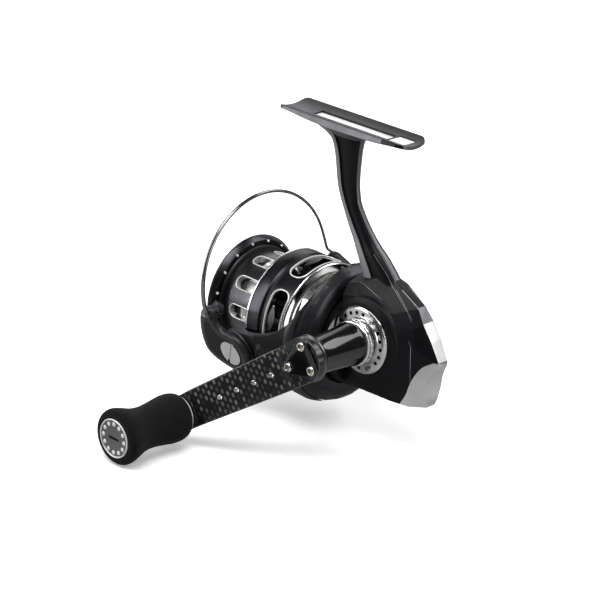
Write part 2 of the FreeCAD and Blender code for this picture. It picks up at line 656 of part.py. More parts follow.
cap = turned("knob_cap", "knob", [(core_end, 0), (core_end, 6.9), (core_end + 1.5, 6.9),
                                  (core_end + 1.5, 5.9),
                                  (core_end + 2.1, 5.9), (core_end + 2.1, 0)])
cap_slot = new_sketch(cap, "YZ_Plane", core_end + 2.2)
polygon(cap_slot, [(-2.6, -0.45), (2.6, -0.45), (2.6, 0.45), (-2.6, 0.45)])
pocket(cap, cap_slot, 0.9)
cap_hole = new_sketch(cap, "YZ_Plane", core_end + 2.2)
circle(cap_hole, 0, 4.6, 0.5)
repeat(cap, pocket(cap, cap_hole, 0.8), 12)
keep(cap, "knob_cap")
keep(turned("knob_bezel", "knob", [(core_end + 1.5, 5.9), (core_end + 1.5, 7.0), (core_end + 2.0, 7.2),
                                   (core_end + 2.6, 6.9), (core_end + 2.6, 6.1),
                                   (core_end + 2.2, 5.9)]), "knob_bezel")

# ---------------------------------------------------------------- rotor
shell_rear = sz("shell_rear")
shell_r = sz("shell_radius")
shell_in = sz("shell_bore")
rotor_solid = new_body("rotor_solid", "rotor")
turn(rotor_solid, [(shell_rear, sz("nose_radius") + 0.6), (shell_rear, 21.3), (shell_rear + 0.9, 23.4),
                   (shell_rear + 3.0, shell_r - 1.0), (shell_rear + 6.0, shell_r), (38.5, shell_r),
                   (38.5, shell_in),
                   (shell_rear + 1.9, shell_in), (shell_rear + 1.9, sz("nose_radius") + 0.6)])
pivot_x = sz("pivot_x")
pivot_z = sz("pivot_z")
arm_mask = new_body("arm_mask", "rotor")
mask = new_sketch(arm_mask, "XZ_Plane")
MASK = [(-8.0, 30.0), (-2.5, 30.0), (-1.2, 22.0), (2.0, 16.5), (7.0, 12.6), (14.0, 9.4),
        (22.0, 6.7), (27.0, 6.6), (31.6, 5.4), (35.0, 2.4), (36.4, -1.8), (35.0, -6.0),
        (31.6, -9.0), (27.0, -10.2), (22.0, -10.2), (14.0, -11.4), (7.0, -13.8),
        (2.0, -17.0), (-1.2, -22.0), (-2.5, -30.0), (-8.0, -30.0)]
polygon(mask, MASK)
pad(arm_mask, mask, 30.0, back=30.0)
rotor_arms = boolean("Common", "rotor_arms", rotor_solid, arm_mask)
seat = new_body("pivot_seat", "rotor")
seat_face = new_sketch(seat, "XZ_Plane")
circle(seat_face, pivot_x, pivot_z, 7.6)
pad(seat, seat_face, sz("arm_seat"), back=sz("arm_seat"))
core_cut = new_body("seat_core", "rotor")
turn(core_cut, [(-10.0, 0), (-10.0, shell_in), (45.0, shell_in), (45.0, 0)])
seats = boolean("Cut", "seats", seat, core_cut)
rotor_whole = merge("rotor_whole", [rotor_arms, seats])
pivot_hole = new_body("pivot_hole", "rotor")
hole_face = new_sketch(pivot_hole, "XZ_Plane")
circle(hole_face, pivot_x, pivot_z, 3.0)
pad(pivot_hole, hole_face, 32.0, back=32.0)
keep(boolean("Cut", "rotor_frame", rotor_whole, pivot_hole), "rotor_frame")

drum_r = sz("drum_radius")
drum_in = sz("drum_bore")
drum_front = sz("drum_front")
hub_back = drum_front - 1.7
drum = turned("rotor_drum", "rotor", [(shell_rear + 1.9, drum_in), (shell_rear + 1.9, drum_r),
                                      (hub_back, drum_r),
                                      (hub_back, drum_in)])
window = new_sketch(drum, "XY_Plane", drum_r - 0.9)
polygon(window, [(-2.6, -5.4), (-1.8, -6.2), (5.2, -6.2), (6.0, -5.4), (6.0, 5.4), (5.2, 6.2),
                 (-1.8, 6.2), (-2.6, 5.4)])
repeat(drum, pocket(drum, window, 4.0, flip=True), 8)
keep(drum, "rotor_drum")
hub_disc = turned("rotor_hub", "rotor", [(hub_back, 6.4), (hub_back, drum_r), (drum_front - 1.0, drum_r),
                                         (drum_front, drum_r - 1.0), (drum_front, 3.1),
                                         (drum_front - 4.0, 3.1),
                                         (drum_front - 4.0, 6.0)])
vent = new_sketch(hub_disc, "YZ_Plane", drum_front + 0.5)
circle(vent, 0, 12.4, 1.9)
repeat(hub_disc, pocket(hub_disc, vent, 3.0), 12)
keep(hub_disc, "rotor_hub")

shaft_gap = DRIVING["main_shaft_radius"] + 0.08
pinion = turned("pinion", "rotor", [(-17.6, shaft_gap), (-17.6, 2.2), (-13.0, 2.2), (-12.5, 2.05),
                                    (-10.0, 2.05), (-10.0, 3.05), (-6.6, 3.05), (-6.6, 2.05),
                                    (-5.6, 2.05), (-5.4, 2.9), (-2.2, 2.9), (-2.2, 3.1), (15.5, 3.1),
                                    (15.5, shaft_gap)], twist=18.0)
tooth_space = new_sketch(pinion, "YZ_Plane", -10.2)
polygon(tooth_space, [(2.1 * math.cos(math.radians(a)) * k, 2.1 * math.sin(math.radians(a)) * k)
                      for a, k in ((14, 1.0), (30, 1.155 * math.cos(math.radians(16))), (46, 1.0),
                                   (50, 1.75), (30, 1.9), (10, 1.75))])
repeat(pinion, pocket(pinion, tooth_space, 3.8, flip=True), DRIVING["pinion_teeth"])
keep(pinion, "pinion")
keep(turned("clutch_sleeve", "rotor", [(-2.0, 3.1), (-2.0, 5.25), (8.3, 5.25), (8.3, 3.1)]),
     "clutch_sleeve")
nut = new_body("rotor_nut", "rotor")
nut_face = new_sketch(nut, "YZ_Plane", drum_front)
hexagon = around(6.0, range(0, 360, 60))
polygon(nut_face, hexagon)
circle(nut_face, 0, 0, 3.1)
pad(nut, nut_face, 2.6)
keep(nut, "rotor_nut")

# A cover plate lies on each arm between the shell and the lever.
covers = []
for way in (1, -1):
    block = Part.makeCylinder(27.6, 16.0, Vec(2.0, 0, 0), Vec(1, 0, 0))
    block = block.cut(Part.makeCylinder(DRIVING["shell_radius"], 17.0, Vec(1.5, 0, 0), Vec(1, 0, 0)))
    window_box = Part.makePolygon([Vec(2.6, 0, -9.5), Vec(12.0, 0, -8.4), Vec(17.4, 0, -6.8),
                                   Vec(18.2, 0, -1.8), Vec(17.4, 0, 3.4), Vec(12.0, 0, 6.6),
                                   Vec(2.6, 0, 9.0), Vec(2.6, 0, -9.5)])
    prism = Part.Face(window_box).extrude(Vec(0, way * 30, 0))
    covers.append(block.common(prism))
shape_group("arm_covers", covers, "rotor")

lever_out = DRIVING["lever_out"]
pivot_screws = []
for way in (1, -1):
    at = Vec(DRIVING["pivot_x"], way * 24.4, DRIVING["pivot_z"])
    shank = Part.makeCylinder(3.0, 4.0, at, Vec(0, way, 0))
    head = Part.makeCylinder(4.9, 1.7, at + Vec(0, way * 4.0, 0), Vec(0, way, 0))
    blade = Part.makeBox(1.0, 1.2, 12.0, Vec(-0.5, -0.6, -6.0))
    blade.rotate(Vec(0, 0, 0), Vec(0, 1, 0), -24.0)
    blade.translate(at + Vec(0, way * 5.7, 0))
    pivot_screws.append(shank.fuse(head).cut(blade).removeSplitter())
shape_group("pivot_screws", pivot_screws, "rotor")

# ---------------------------------------------------------------- bail
lever = new_body("bail_lever", "rotor")
lever_face = new_sketch(lever, "XZ_Plane", -sz("lever_in"))
LEVER = [(6.0, 16.4), (9.4, 16.6), (12.0, 14.6), (13.8, 10.6), (14.9, 5.6), (15.0, 0.6), (13.6, -3.8),
         (9.6, -6.4), (4.6, -7.7), (0.0, -8.2), (-5.2, -6.3), (-8.1, -1.8), (-7.4, 3.4), (-4.2, 7.0),
         (0.2, 8.1), (3.8, 8.6), (5.6, 10.8), (5.4, 14.0)]
polygon(lever_face, [(pivot_x + along, pivot_z + up) for along, up in LEVER])
circle(lever_face, pivot_x, pivot_z, 3.0 + sz("run_gap"))
pad(lever, lever_face, sz("lever_out") - sz("lever_in"), flip=True)
counterbore = new_sketch(lever, "XZ_Plane", -28.1)
circle(counterbore, pivot_x, pivot_z, 5.2)
pocket(lever, counterbore, 4.0)
axle_hole = new_sketch(lever, "XZ_Plane", -26.0)
circle(axle_hole, pivot_x + sz("roller_x"), pivot_z + sz("roller_z"), 1.2)
pocket(lever, axle_hole, 6.0)
keep(lever, "bail_lever")

holder = new_body("bail_holder", "rotor")
holder_face = new_sketch(holder, "XZ_Plane", sz("lever_in"))
HOLDER = [(-2.8, 7.5), (-0.4, 9.3), (3.0, 9.2), (4.8, 6.9), (7.2, 4.2), (8.0, 0.0), (5.7, -5.7), (0.0, -8.0),
          (-5.7, -5.7), (-8.0, 0.0), (-6.4, 4.9)]
polygon(holder_face, [(pivot_x + along, pivot_z + up) for along, up in HOLDER])
circle(holder_face, pivot_x, pivot_z, 3.0 + sz("run_gap"))
pad(holder, holder_face, sz("lever_out") - sz("lever_in"))
far_bore = new_sketch(holder, "XZ_Plane", 28.1)
circle(far_bore, pivot_x, pivot_z, 5.2)
pocket(holder, far_bore, 4.0, flip=True)
keep(holder, "bail_holder")

tilt = math.radians(DRIVING["bail_tilt"])
pivot = Vec(DRIVING["pivot_x"], 0, DRIVING["pivot_z"])


def in_bail(across, out):
    """A point of the bail's plane: across along the pivots, out away from them."""
    return pivot + Vec(out * math.cos(tilt), across, out * math.sin(tilt))


wire_r = DRIVING["wire_radius"]
bow = Part.makeTorus(DRIVING["bail_radius"], wire_r, Vec(0, 0, 0), Vec(0, 0, 1), 0, 360, 180)
bow.Placement = FreeCAD.Placement(in_bail(DRIVING["bail_shift"], DRIVING["bail_rise"]),
                                  Rot(Vec(0, 1, 0), in_bail(0, 1) - pivot, Vec(1, 0, 0), "XYZ"))


def rod(start, end, radius):
    """A round bar between two points with a ball on its first end."""
    bar = Part.makeCylinder(radius, (end - start).Length, start, end - start)
    return bar.fuse(Part.makeSphere(radius, start))


near_end = in_bail(DRIVING["bail_shift"] + DRIVING["bail_radius"], DRIVING["bail_rise"])
far_end = in_bail(DRIVING["bail_shift"] - DRIVING["bail_radius"], DRIVING["bail_rise"])
far_knee = in_bail(-25.0, 12.2)
roller_mid = pivot + Vec(DRIVING["roller_x"], 0, DRIVING["roller_z"])
cone_tip = roller_mid + Vec(0, 22.4, 0)
elbow = roller_mid + Vec(-1.8, 32.8, 4.0)
wire = bow.fuse([rod(near_end, elbow, wire_r), rod(elbow, roller_mid + Vec(-0.4, 29.2, 2.2), wire_r),
                 rod(roller_mid + Vec(-0.4, 29.2, 2.2), roller_mid + Vec(0, 28.0, 0.8), wire_r),
                 rod(far_end, far_knee, wire_r), rod(far_knee, in_bail(-28.9, 7.6), wire_r)])
bail_wire = doc.addObject("Part::Feature", "bail_wire")
bail_wire.Shape = wire.removeSplitter()
place(bail_wire, SHAFT_AT, ROTOR_TURN)
keep(bail_wire, "bail_wire")

roller_axis = Part.makeCylinder(1.15, 8.0, roller_mid + Vec(0, 22.6, 0), Vec(0, 1, 0))
roller_head = Part.makeCylinder(2.1, 0.8, roller_mid + Vec(0, lever_out, 0), Vec(0, 1, 0))
roller_stop = Part.makeCone(1.4, 2.9, 1.0, roller_mid + Vec(0, 22.6, 0), Vec(0, 1, 0))
roller_slot = Part.makeBox(0.5, 1.0, 5.0, roller_mid + Vec(-0.25, lever_out + 0.35, -2.5))
roller_screw = doc.addObject("Part::Feature", "roller_screw")
roller_screw.Shape = roller_axis.fuse([roller_head, roller_stop]).cut(roller_slot).removeSplitter()
place(roller_screw, SHAFT_AT, ROTOR_TURN)
keep(roller_screw, "roller_screw")

roller = new_body("line_roller", "rotor")
roller_base, roller_turn = FRAMES["rotor"]
roller_centre = ROTOR_TURN.multVec(roller_mid) + Vec(0, 0, -DRIVING["shaft_drop"])
place(roller, (roller_centre.x, roller_centre.y, roller_centre.z), ROTOR_TURN * TO_CRANK)
roller_r = sz("roller_radius")
turn(roller, [(23.8, 1.15 + sz("run_gap")), (23.8, roller_r), (24.4, roller_r), (25.0, roller_r - 0.7),
              (25.7, roller_r - 0.7), (26.3, roller_r), (26.85, roller_r), (26.85, 1.15 + sz("run_gap"))])
keep(roller, "line_roller")

# ---------------------------------------------------------------- main shaft and slider
main_r = sz("main_shaft_radius")
main_shaft = turned("main_shaft", "shaft", [(-27.6, 0), (-27.6, main_r), (52.5, main_r), (52.5, 0)])
keep(main_shaft, "main_shaft")
slider = new_body("slider", "shaft")
slider_side = new_sketch(slider, "XZ_Plane", 2.0)
SLIDER_MID = -27.2
polygon(slider_side, [(SLIDER_MID - 2.2, -9.4), (SLIDER_MID + 2.2, -9.4), (SLIDER_MID + 2.2, 7.4),
                      (SLIDER_MID - 2.2, 7.4)])
polygon(slider_side, [(SLIDER_MID - 1.2, -4.6), (SLIDER_MID + 1.2, -4.6), (SLIDER_MID + 1.2, 6.4),
                      (SLIDER_MID - 1.2, 6.4)])
pad(slider, slider_side, 1.5)
slider_shoe = new_sketch(slider, "XZ_Plane", 1.3)
polygon(slider_shoe, [(SLIDER_MID - 2.2, -9.4), (SLIDER_MID + 2.2, -9.4), (SLIDER_MID + 2.2, -6.2),
                      (SLIDER_MID - 2.2, -6.2)])
pad(slider, slider_shoe, 2.4)
slider_block = new_sketch(slider, "XZ_Plane", -1.8)
polygon(slider_block, [(SLIDER_MID - 2.2, -2.4), (SLIDER_MID + 2.2, -2.4), (SLIDER_MID + 2.2, 2.4),
                       (SLIDER_MID - 2.2, 2.4)])
pad(slider, slider_block, 3.8)
slider_bore = new_sketch(slider, "YZ_Plane", SLIDER_MID - 3)
circle(slider_bore, 0, 0, main_r)
pocket(slider, slider_bore, 6.0, flip=True)
rod_bore = new_sketch(slider, "YZ_Plane", SLIDER_MID - 3)
circle(rod_bore, -2.5, -7.8, 0.75 + sz("run_gap"))
pocket(slider, rod_bore, 6.0, flip=True)
keep(slider, "slider")
guide_rod = turned("guide_rod", "shaft", [(-44.0, 0), (-44.0, 0.75), (-9.9, 0.75), (-9.9, 0)])
place(guide_rod, (0, -2.5, -sz("shaft_drop") - 7.8))
keep(guide_rod, "guide_rod")
seat_disc = turned("spool_seat", "shaft", [(28.2, main_r), (28.2, 5.6), (29.3, 5.6), (29.3, 2.94),
                                           (33.0, 2.94), (33.0, main_r)])
keep(seat_disc, "spool_seat")

# ---------------------------------------------------------------- spool
skirt_front = sz("skirt_front")
skirt_rear = sz("skirt_rear")
skirt_r = sz("skirt_radius")
arbor_r = sz("arbor_radius")
lip_x = sz("lip_x")
skirt_in = skirt_r - 1.9
flange_back = skirt_front - 1.0
skirt = turned("spool_skirt", "shaft", [
    (skirt_rear, skirt_in), (skirt_rear, skirt_r - 0.9), (skirt_rear + 0.7, skirt_r - 0.6),
    (skirt_rear + 9.9, skirt_r - 0.3), (skirt_rear + 10.4, skirt_r - 1.1),
    (skirt_rear + 11.6, skirt_r - 1.1),
    (skirt_rear + 12.1, skirt_r - 0.2), (flange_back, skirt_r), (flange_back, skirt_in)], twist=-3.6)
gates = new_sketch(skirt, "XY_Plane")
polygon(gates, [(9.2, -9.2), (10.2, -10.6), (16.2, -10.6), (17.2, -9.2), (17.2, 9.2), (16.2, 10.6),
                (10.2, 10.6), (9.2, 9.2)])
repeat(skirt, pocket(skirt, gates, 24.0, flip=True), 5)
keep(skirt, "spool_skirt")
spool = turned("spool", "shaft", [
    (flange_back, skirt_r), (skirt_front - 0.3, skirt_r), (skirt_front, skirt_r - 0.4),
    (skirt_front + 1.2, arbor_r + 0.4), (skirt_front + 1.8, arbor_r), (lip_x - 4.6, arbor_r),
    (lip_x - 3.4, arbor_r + 1.2), (lip_x - 2.2, arbor_r + 2.4), (lip_x - 2.2, 14.2), (lip_x - 8.6, 14.2),
    (lip_x - 8.6, main_r + 0.06), (lip_x - 10.6, main_r + 0.06), (lip_x - 10.6, 3.0), (lip_x - 17.0, 3.0),
    (lip_x - 17.0, 5.4), (lip_x - 10.6, 5.8), (lip_x - 10.6, arbor_r - 1.6),
    (skirt_front + 0.6, arbor_r - 1.6), (flange_back, skirt_in)], twist=-18.0)
slots = new_sketch(spool, "XY_Plane", 15.0)
polygon(slots, [(29.0, -2.1), (29.8, -2.6), (39.2, -2.6), (40.0, -2.1), (40.0, 2.1), (39.2, 2.6),
                (29.8, 2.6), (29.0, 2.1)])
repeat(spool, pocket(spool, slots, 5.0, flip=True), 10)
keep(spool, "spool")
lip_r = sz("lip_radius")
lip = turned("spool_lip", "shaft", [(lip_x - 2.2, 14.4), (lip_x - 2.2, 20.9), (lip_x, lip_r),
                                    (lip_x + 0.5, lip_r), (lip_x + 1.5, lip_r - 1.2),
                                    (lip_x + 1.5, 16.5), (lip_x + 0.4, 14.4)], twist=-7.5)
lip_hole = new_sketch(lip, "YZ_Plane", lip_x - 3)
circle(lip_hole, 0, 20.5, 0.6)
repeat(lip, pocket(lip, lip_hole, 6.0, flip=True), 16)
keep(lip, "spool_lip")

washers = [disc(a, a + 0.8, 13.0).cut(disc(a, a + 0.8, 3.4)) for a in (38.4, 39.6, 40.8)]
shape_group("drag_washers", washers, "shaft")
metal_washers = [disc(a, a + 0.4, 13.4).cut(disc(a, a + 0.4, 3.4)) for a in (39.2, 40.4)]
shape_group("drag_plates", metal_washers, "shaft")
clip = disc(41.9, 42.5, 14.0).cut(disc(41.9, 42.5, 12.2))
shape_group("drag_clip", [clip], "shaft")

# ---------------------------------------------------------------- drag knob
knob = turned("drag_knob", "shaft", [(43.4, 1.65), (43.4, 11.6), (44.2, 12.2), (46.2, 12.8),
                                     (49.5, 12.6), (51.2, 11.2), (52.6, 11.0), (52.6, 3.4),
                                     (54.4, 3.4), (54.4, 0), (53.0, 0), (53.0, 1.65)])
wing = new_sketch(knob, "YZ_Plane", 52.6)
polygon(wing, [(-10.6, -1.7), (10.6, -1.7), (10.6, 1.7), (-10.6, 1.7)])
pad(knob, wing, 4.2)
notch = new_sketch(knob, "YZ_Plane", 45.0)
circle(notch, 0, 14.2, 1.9)
repeat(knob, pocket(knob, notch, 8.0, flip=True), 20)
keep(knob, "drag_knob")
keep(turned("drag_knob_ring", "shaft", [(42.8, 9.2), (42.8, 11.4), (43.35, 11.4), (43.35, 9.2)]),
     "drag_knob_ring")

# ---------------------------------------------------------------- check and export
doc.recompute()
for item in doc.Objects:
    if "Invalid" in item.State or "Error" in item.State:
        raise ValueError("%s failed: %s" % (item.Label, item.State))
os.makedirs("parts", exist_ok=True)
for piece in PIECES:
    if piece.Shape.isNull() or not piece.Shape.isValid() or not piece.Shape.Solids:
        raise ValueError("%s has no valid solid" % piece.Label)
    piece.Shape.exportStep("parts/%s.step" % piece.Label)
    print("%-20s solids %2d volume %9.2f" % (piece.Label, len(piece.Shape.Solids), piece.Shape.Volume))
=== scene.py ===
"""Looks of the spinning reel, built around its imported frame.

Shapes are given in millimetres in the space of the body they belong to; a mesh gets them in metres.
"""
import bmesh
import bpy
import json
import math
from mathutils import Matrix, Vector
from mathutils.bvhtree import BVHTree


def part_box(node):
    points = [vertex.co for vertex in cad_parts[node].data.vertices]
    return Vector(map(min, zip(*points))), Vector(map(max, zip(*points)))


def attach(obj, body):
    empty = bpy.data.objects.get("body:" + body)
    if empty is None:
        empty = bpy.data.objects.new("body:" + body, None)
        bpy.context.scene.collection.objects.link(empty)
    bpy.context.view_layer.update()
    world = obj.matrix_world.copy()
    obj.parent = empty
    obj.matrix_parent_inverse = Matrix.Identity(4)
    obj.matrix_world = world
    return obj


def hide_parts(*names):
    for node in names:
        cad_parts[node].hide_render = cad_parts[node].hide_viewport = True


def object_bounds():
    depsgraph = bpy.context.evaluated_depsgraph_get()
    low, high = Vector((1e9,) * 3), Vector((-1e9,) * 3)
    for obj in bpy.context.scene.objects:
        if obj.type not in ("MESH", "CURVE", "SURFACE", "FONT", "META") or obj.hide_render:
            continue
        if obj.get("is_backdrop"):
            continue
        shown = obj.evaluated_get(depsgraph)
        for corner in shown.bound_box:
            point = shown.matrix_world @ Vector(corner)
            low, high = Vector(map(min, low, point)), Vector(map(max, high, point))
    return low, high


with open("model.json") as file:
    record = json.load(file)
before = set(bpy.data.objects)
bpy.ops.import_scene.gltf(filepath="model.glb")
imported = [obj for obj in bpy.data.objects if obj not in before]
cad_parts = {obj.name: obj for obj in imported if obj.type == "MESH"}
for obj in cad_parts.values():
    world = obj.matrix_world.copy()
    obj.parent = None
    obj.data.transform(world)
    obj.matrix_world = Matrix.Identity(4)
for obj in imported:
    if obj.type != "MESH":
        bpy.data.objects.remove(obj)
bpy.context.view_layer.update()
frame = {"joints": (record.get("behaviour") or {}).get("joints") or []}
JOINTS = {joint["name"]: joint for joint in frame["joints"]}
MM = 0.001
X, Y, Z = range(3)


# ---------------------------------------------------------------- spaces
def space(origin, along, up):
    """A millimetre space with its X along one direction and its Z as near to another as it can be."""
    x_axis = Vector(along).normalized()
    y_axis = Vector(up).cross(x_axis).normalized()
    z_axis = x_axis.cross(y_axis)
    turn = Matrix((x_axis, y_axis, z_axis)).transposed().to_4x4()
    return Matrix.Translation(Vector(origin)) @ turn @ Matrix.Scale(MM, 4)


CRANK_POS = Vector(JOINTS["crank_turn"]["pos_m"])
KNOB_POS = Vector(JOINTS["knob_spin"]["pos_m"])
SHAFT_POS = Vector(JOINTS["rotor_turn"]["pos_m"])
BAIL_AXIS = Vector(JOINTS["bail_flip"]["axis"])
FORWARD = Vector((1, 0, 0))
SIDEWAYS = Vector((0, 1, 0))
UP = Vector((0, 0, 1))
ROW = Matrix.Scale(MM, 4)
SHAFT = space(SHAFT_POS, FORWARD, UP)
ROTOR = space(SHAFT_POS, FORWARD, FORWARD.cross(BAIL_AXIS))
CRANK = space(CRANK_POS, SIDEWAYS, UP)
KNOB = space(KNOB_POS, SIDEWAYS, UP)
ARM_WAY = (KNOB_POS - CRANK_POS).normalized()
ARM = space(CRANK_POS, ARM_WAY, SIDEWAYS)
ARM_LENGTH = (KNOB_POS - CRANK_POS).length / MM
PIVOT = ROTOR.inverted() @ Vector(JOINTS["bail_flip"]["pos_m"])
ROLLER = ROTOR.inverted() @ Vector(JOINTS["roller_spin"]["pos_m"])


def reach(node, axis, low=False):
    """How far a CAD node reaches along a world axis, in millimetres."""
    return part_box(node)[0 if low else 1][axis] / MM


# ---------------------------------------------------------------- materials
class Nodes:
    """A short way to write a material's node tree."""

    def __init__(self, name):
        self.material = bpy.data.materials.new(name)
        self.material.use_nodes = True
        self.tree = self.material.node_tree
        self.shader = self.tree.nodes["Principled BSDF"]
        self.place = self.add("ShaderNodeTexCoord").outputs["Object"]

    def add(self, kind, **settings):
        node = self.tree.nodes.new(kind)
        for key, value in settings.items():
            setattr(node, key, value)
        return node

    def link(self, source, target):
        self.tree.links.new(source, target)

    def feed(self, name, source):
        """Link a value to one of the shader's inputs."""
        self.link(source, self.shader.inputs[name])

    def math(self, operation, first, second=0.0, clamp=False):
        node = self.add("ShaderNodeMath", operation=operation, use_clamp=clamp)
        for socket, value in zip(node.inputs, (first, second)):
            if isinstance(value, (int, float)):
                socket.default_value = value
            else:
                self.link(value, socket)
        return node.outputs[0]

    def pair(self, first, second):
        """A vector of two values."""
        joined = self.add("ShaderNodeCombineXYZ")
        self.link(first, joined.inputs["X"])
        self.link(second, joined.inputs["Y"])
        return joined.outputs["Vector"]

    def noise(self, vector, scale, detail=3.0, roughness=0.55):
        node = self.add("ShaderNodeTexNoise")
        node.inputs["Scale"].default_value = scale
        node.inputs["Detail"].default_value = detail
        node.inputs["Roughness"].default_value = roughness
        self.link(vector, node.inputs["Vector"])
        return node.outputs["Fac"]

    def spread(self, value, low, high, from_low=0.3, from_high=0.7):
        node = self.add("ShaderNodeMapRange")
        limits = {"From Min": from_low, "From Max": from_high, "To Min": low, "To Max": high}
        for name, number in limits.items():
            node.inputs[name].default_value = number
        self.link(value, node.inputs["Value"])
        return node.outputs["Result"]

    def blend(self, factor, dark, light):
        node = self.add("ShaderNodeMix", data_type="RGBA")
        self.link(factor, node.inputs["Factor"])
        for socket, colour in ((node.inputs["A"], dark), (node.inputs["B"], light)):
            if isinstance(colour, tuple):
                socket.default_value = (*colour, 1.0)
            else:
                self.link(colour, socket)
        return node.outputs["Result"]

    def bump(self, height, strength, distance):
        node = self.add("ShaderNodeBump")
        node.inputs["Strength"].default_value = strength
        node.inputs["Distance"].default_value = distance
        self.link(height, node.inputs["Height"])
        if self.shader.inputs["Normal"].is_linked:
            self.link(self.shader.inputs["Normal"].links[0].from_socket, node.inputs["Normal"])
        self.link(node.outputs["Normal"], self.shader.inputs["Normal"])

    def set(self, **values):
        for name, value in values.items():
            self.shader.inputs[name.replace("_", " ")].default_value = value

    def axis_place(self, matrix):
        """Coordinates along an axis and away from it, in millimetres, which turned surfaces share."""
        mapping = self.add("ShaderNodeVectorMath", operation="SUBTRACT")
        self.link(self.place, mapping.inputs[0])
        mapping.inputs[1].default_value = matrix.translation
        along_way = (matrix.to_3x3() @ FORWARD).normalized()
        dot = self.add("ShaderNodeVectorMath", operation="DOT_PRODUCT")
        self.link(mapping.outputs[0], dot.inputs[0])
        dot.inputs[1].default_value = along_way
        length = self.add("ShaderNodeVectorMath", operation="LENGTH")
        self.link(mapping.outputs[0], length.inputs[0])
        along = self.math("MULTIPLY", dot.outputs["Value"], 1 / MM)
        far = self.math("MULTIPLY", length.outputs["Value"], 1 / MM)
        square = self.math("SUBTRACT", self.math("MULTIPLY", far, far), self.math("MULTIPLY", along, along))
        away = self.math("SQRT", self.math("MAXIMUM", square, 0.0))
        return self.pair(along, away)


PATCH_SCALE = 60.0
GRAIN_DEPTH = 0.00002


def coloured(name, dark, light, rough, metal=0.0, coat=0.0, grain=2500.0, bump=0.15, specular=0.5):
    """A surface with patches of slightly different colour and gloss and a fine grain."""
    made = Nodes(name)
    patches = made.noise(made.place, PATCH_SCALE, 4.0)
    made.feed("Base Color", made.blend(made.spread(patches, 0.0, 1.0), dark, light))
    smear = made.noise(made.place, PATCH_SCALE * 3.1, 5.0, 0.65)
    made.feed("Roughness", made.spread(smear, *rough))
    made.bump(made.noise(made.place, grain, 2.0), bump, GRAIN_DEPTH)
    made.set(Metallic=metal, Coat_Weight=coat, Coat_Roughness=0.06, Specular_IOR_Level=specular)
    return made.material


def turned_metal(name, matrix, dark, light, rough):
    """Metal with the fine rings that a lathe leaves around an axis."""
    made = Nodes(name)
    rings = made.noise(made.axis_place(matrix), 3.0, 4.0, 0.7)
    patches = made.noise(made.place, 90.0, 3.0)
    made.feed("Base Color", made.blend(made.spread(patches, 0.0, 1.0), dark, light))
    made.feed("Roughness", made.spread(rings, *rough))
    made.bump(rings, 0.25, GRAIN_DEPTH)
    made.set(Metallic=1.0, Coat_Weight=0.0, Coat_Roughness=0.08)
    return made.material


WEAVE = (1.55, 2.75)


def carbon_weave():
    """Woven tows under clear resin: every second crossing shows a pale fleck of fibres."""
    made = Nodes("carbon_weave")
    rows = []
    for row in ARM.to_3x3().normalized().transposed()[:2]:
        dot = made.add("ShaderNodeVectorMath", operation="DOT_PRODUCT")
        made.link(made.place, dot.inputs[0])
        dot.inputs[1].default_value = row
        rows.append(made.math("MULTIPLY", dot.outputs["Value"], 1 / MM))
    along, across = (made.math("DIVIDE", row, size) for row, size in zip(rows, WEAVE))
    column = made.math("FLOOR", along)
    shifted = made.math("ADD", across, made.math("MULTIPLY", made.math("MODULO", column, 2.0), 0.5))

    def falloff(value, steep):
        """How far a place is from the middle of its cell, raised so that the middle stays flat."""
        off = made.math("SUBTRACT", made.math("FRACT", value), 0.5)
        return made.math("POWER", made.math("ABSOLUTE", made.math("MULTIPLY", off, steep)), 2.6)

    gap = made.math("ADD", falloff(along, 3.0), falloff(shifted, 2.7))
    fleck = made.math("SUBTRACT", 1.0, gap, clamp=True)
    fibres = made.noise(made.pair(made.math("MULTIPLY", rows[0], 9.0), made.math("MULTIPLY", rows[1], 1.1)),
                        1.0, 3.0, 0.7)
    random_cell = made.add("ShaderNodeTexWhiteNoise", noise_dimensions="2D")
    made.link(made.pair(column, made.math("FLOOR", shifted)), random_cell.inputs["Vector"])
    luck = made.spread(random_cell.outputs["Value"], 0.0, 1.0, 0.1, 1.0)
    light = made.math("MULTIPLY", fleck, made.math("MULTIPLY", made.spread(fibres, 0.35, 1.0), luck))
    made.feed("Base Color", made.blend(light, (0.004, 0.004, 0.004), (0.26, 0.255, 0.245)))
    made.feed("Roughness", made.spread(fibres, 0.3, 0.5))
    made.bump(fleck, 0.3, 0.00005)
    made.set(Metallic=0.1, Coat_Weight=0.35, Coat_Roughness=0.08, Specular_IOR_Level=0.3)
    return made.material


def foam_rubber():
    """Matt closed-cell foam with fine pores and pale specks."""
    made = Nodes("foam_rubber")
    pores = made.noise(made.place, 2600.0, 3.0, 0.6)
    patches = made.noise(made.place, 250.0, 3.0)
    base = made.blend(made.spread(patches, 0.0, 1.0), (0.0022, 0.0022, 0.0027), (0.0052, 0.005, 0.006))
    specks = made.spread(pores, 0.0, 1.0, 0.6, 0.78)
    made.feed("Base Color", made.blend(specks, base, (0.022, 0.022, 0.026)))
    made.feed("Roughness", made.spread(patches, 0.78, 0.92))
    cells = made.add("ShaderNodeTexVoronoi")
    cells.inputs["Scale"].default_value = 1500.0
    made.link(made.place, cells.inputs["Vector"])
    made.bump(cells.outputs["Distance"], 0.6, 0.00009)
    made.bump(pores, 0.5, 0.00006)
    made.set(Sheen_Weight=0.05, Sheen_Roughness=0.5, Specular_IOR_Level=0.15)
    return made.material


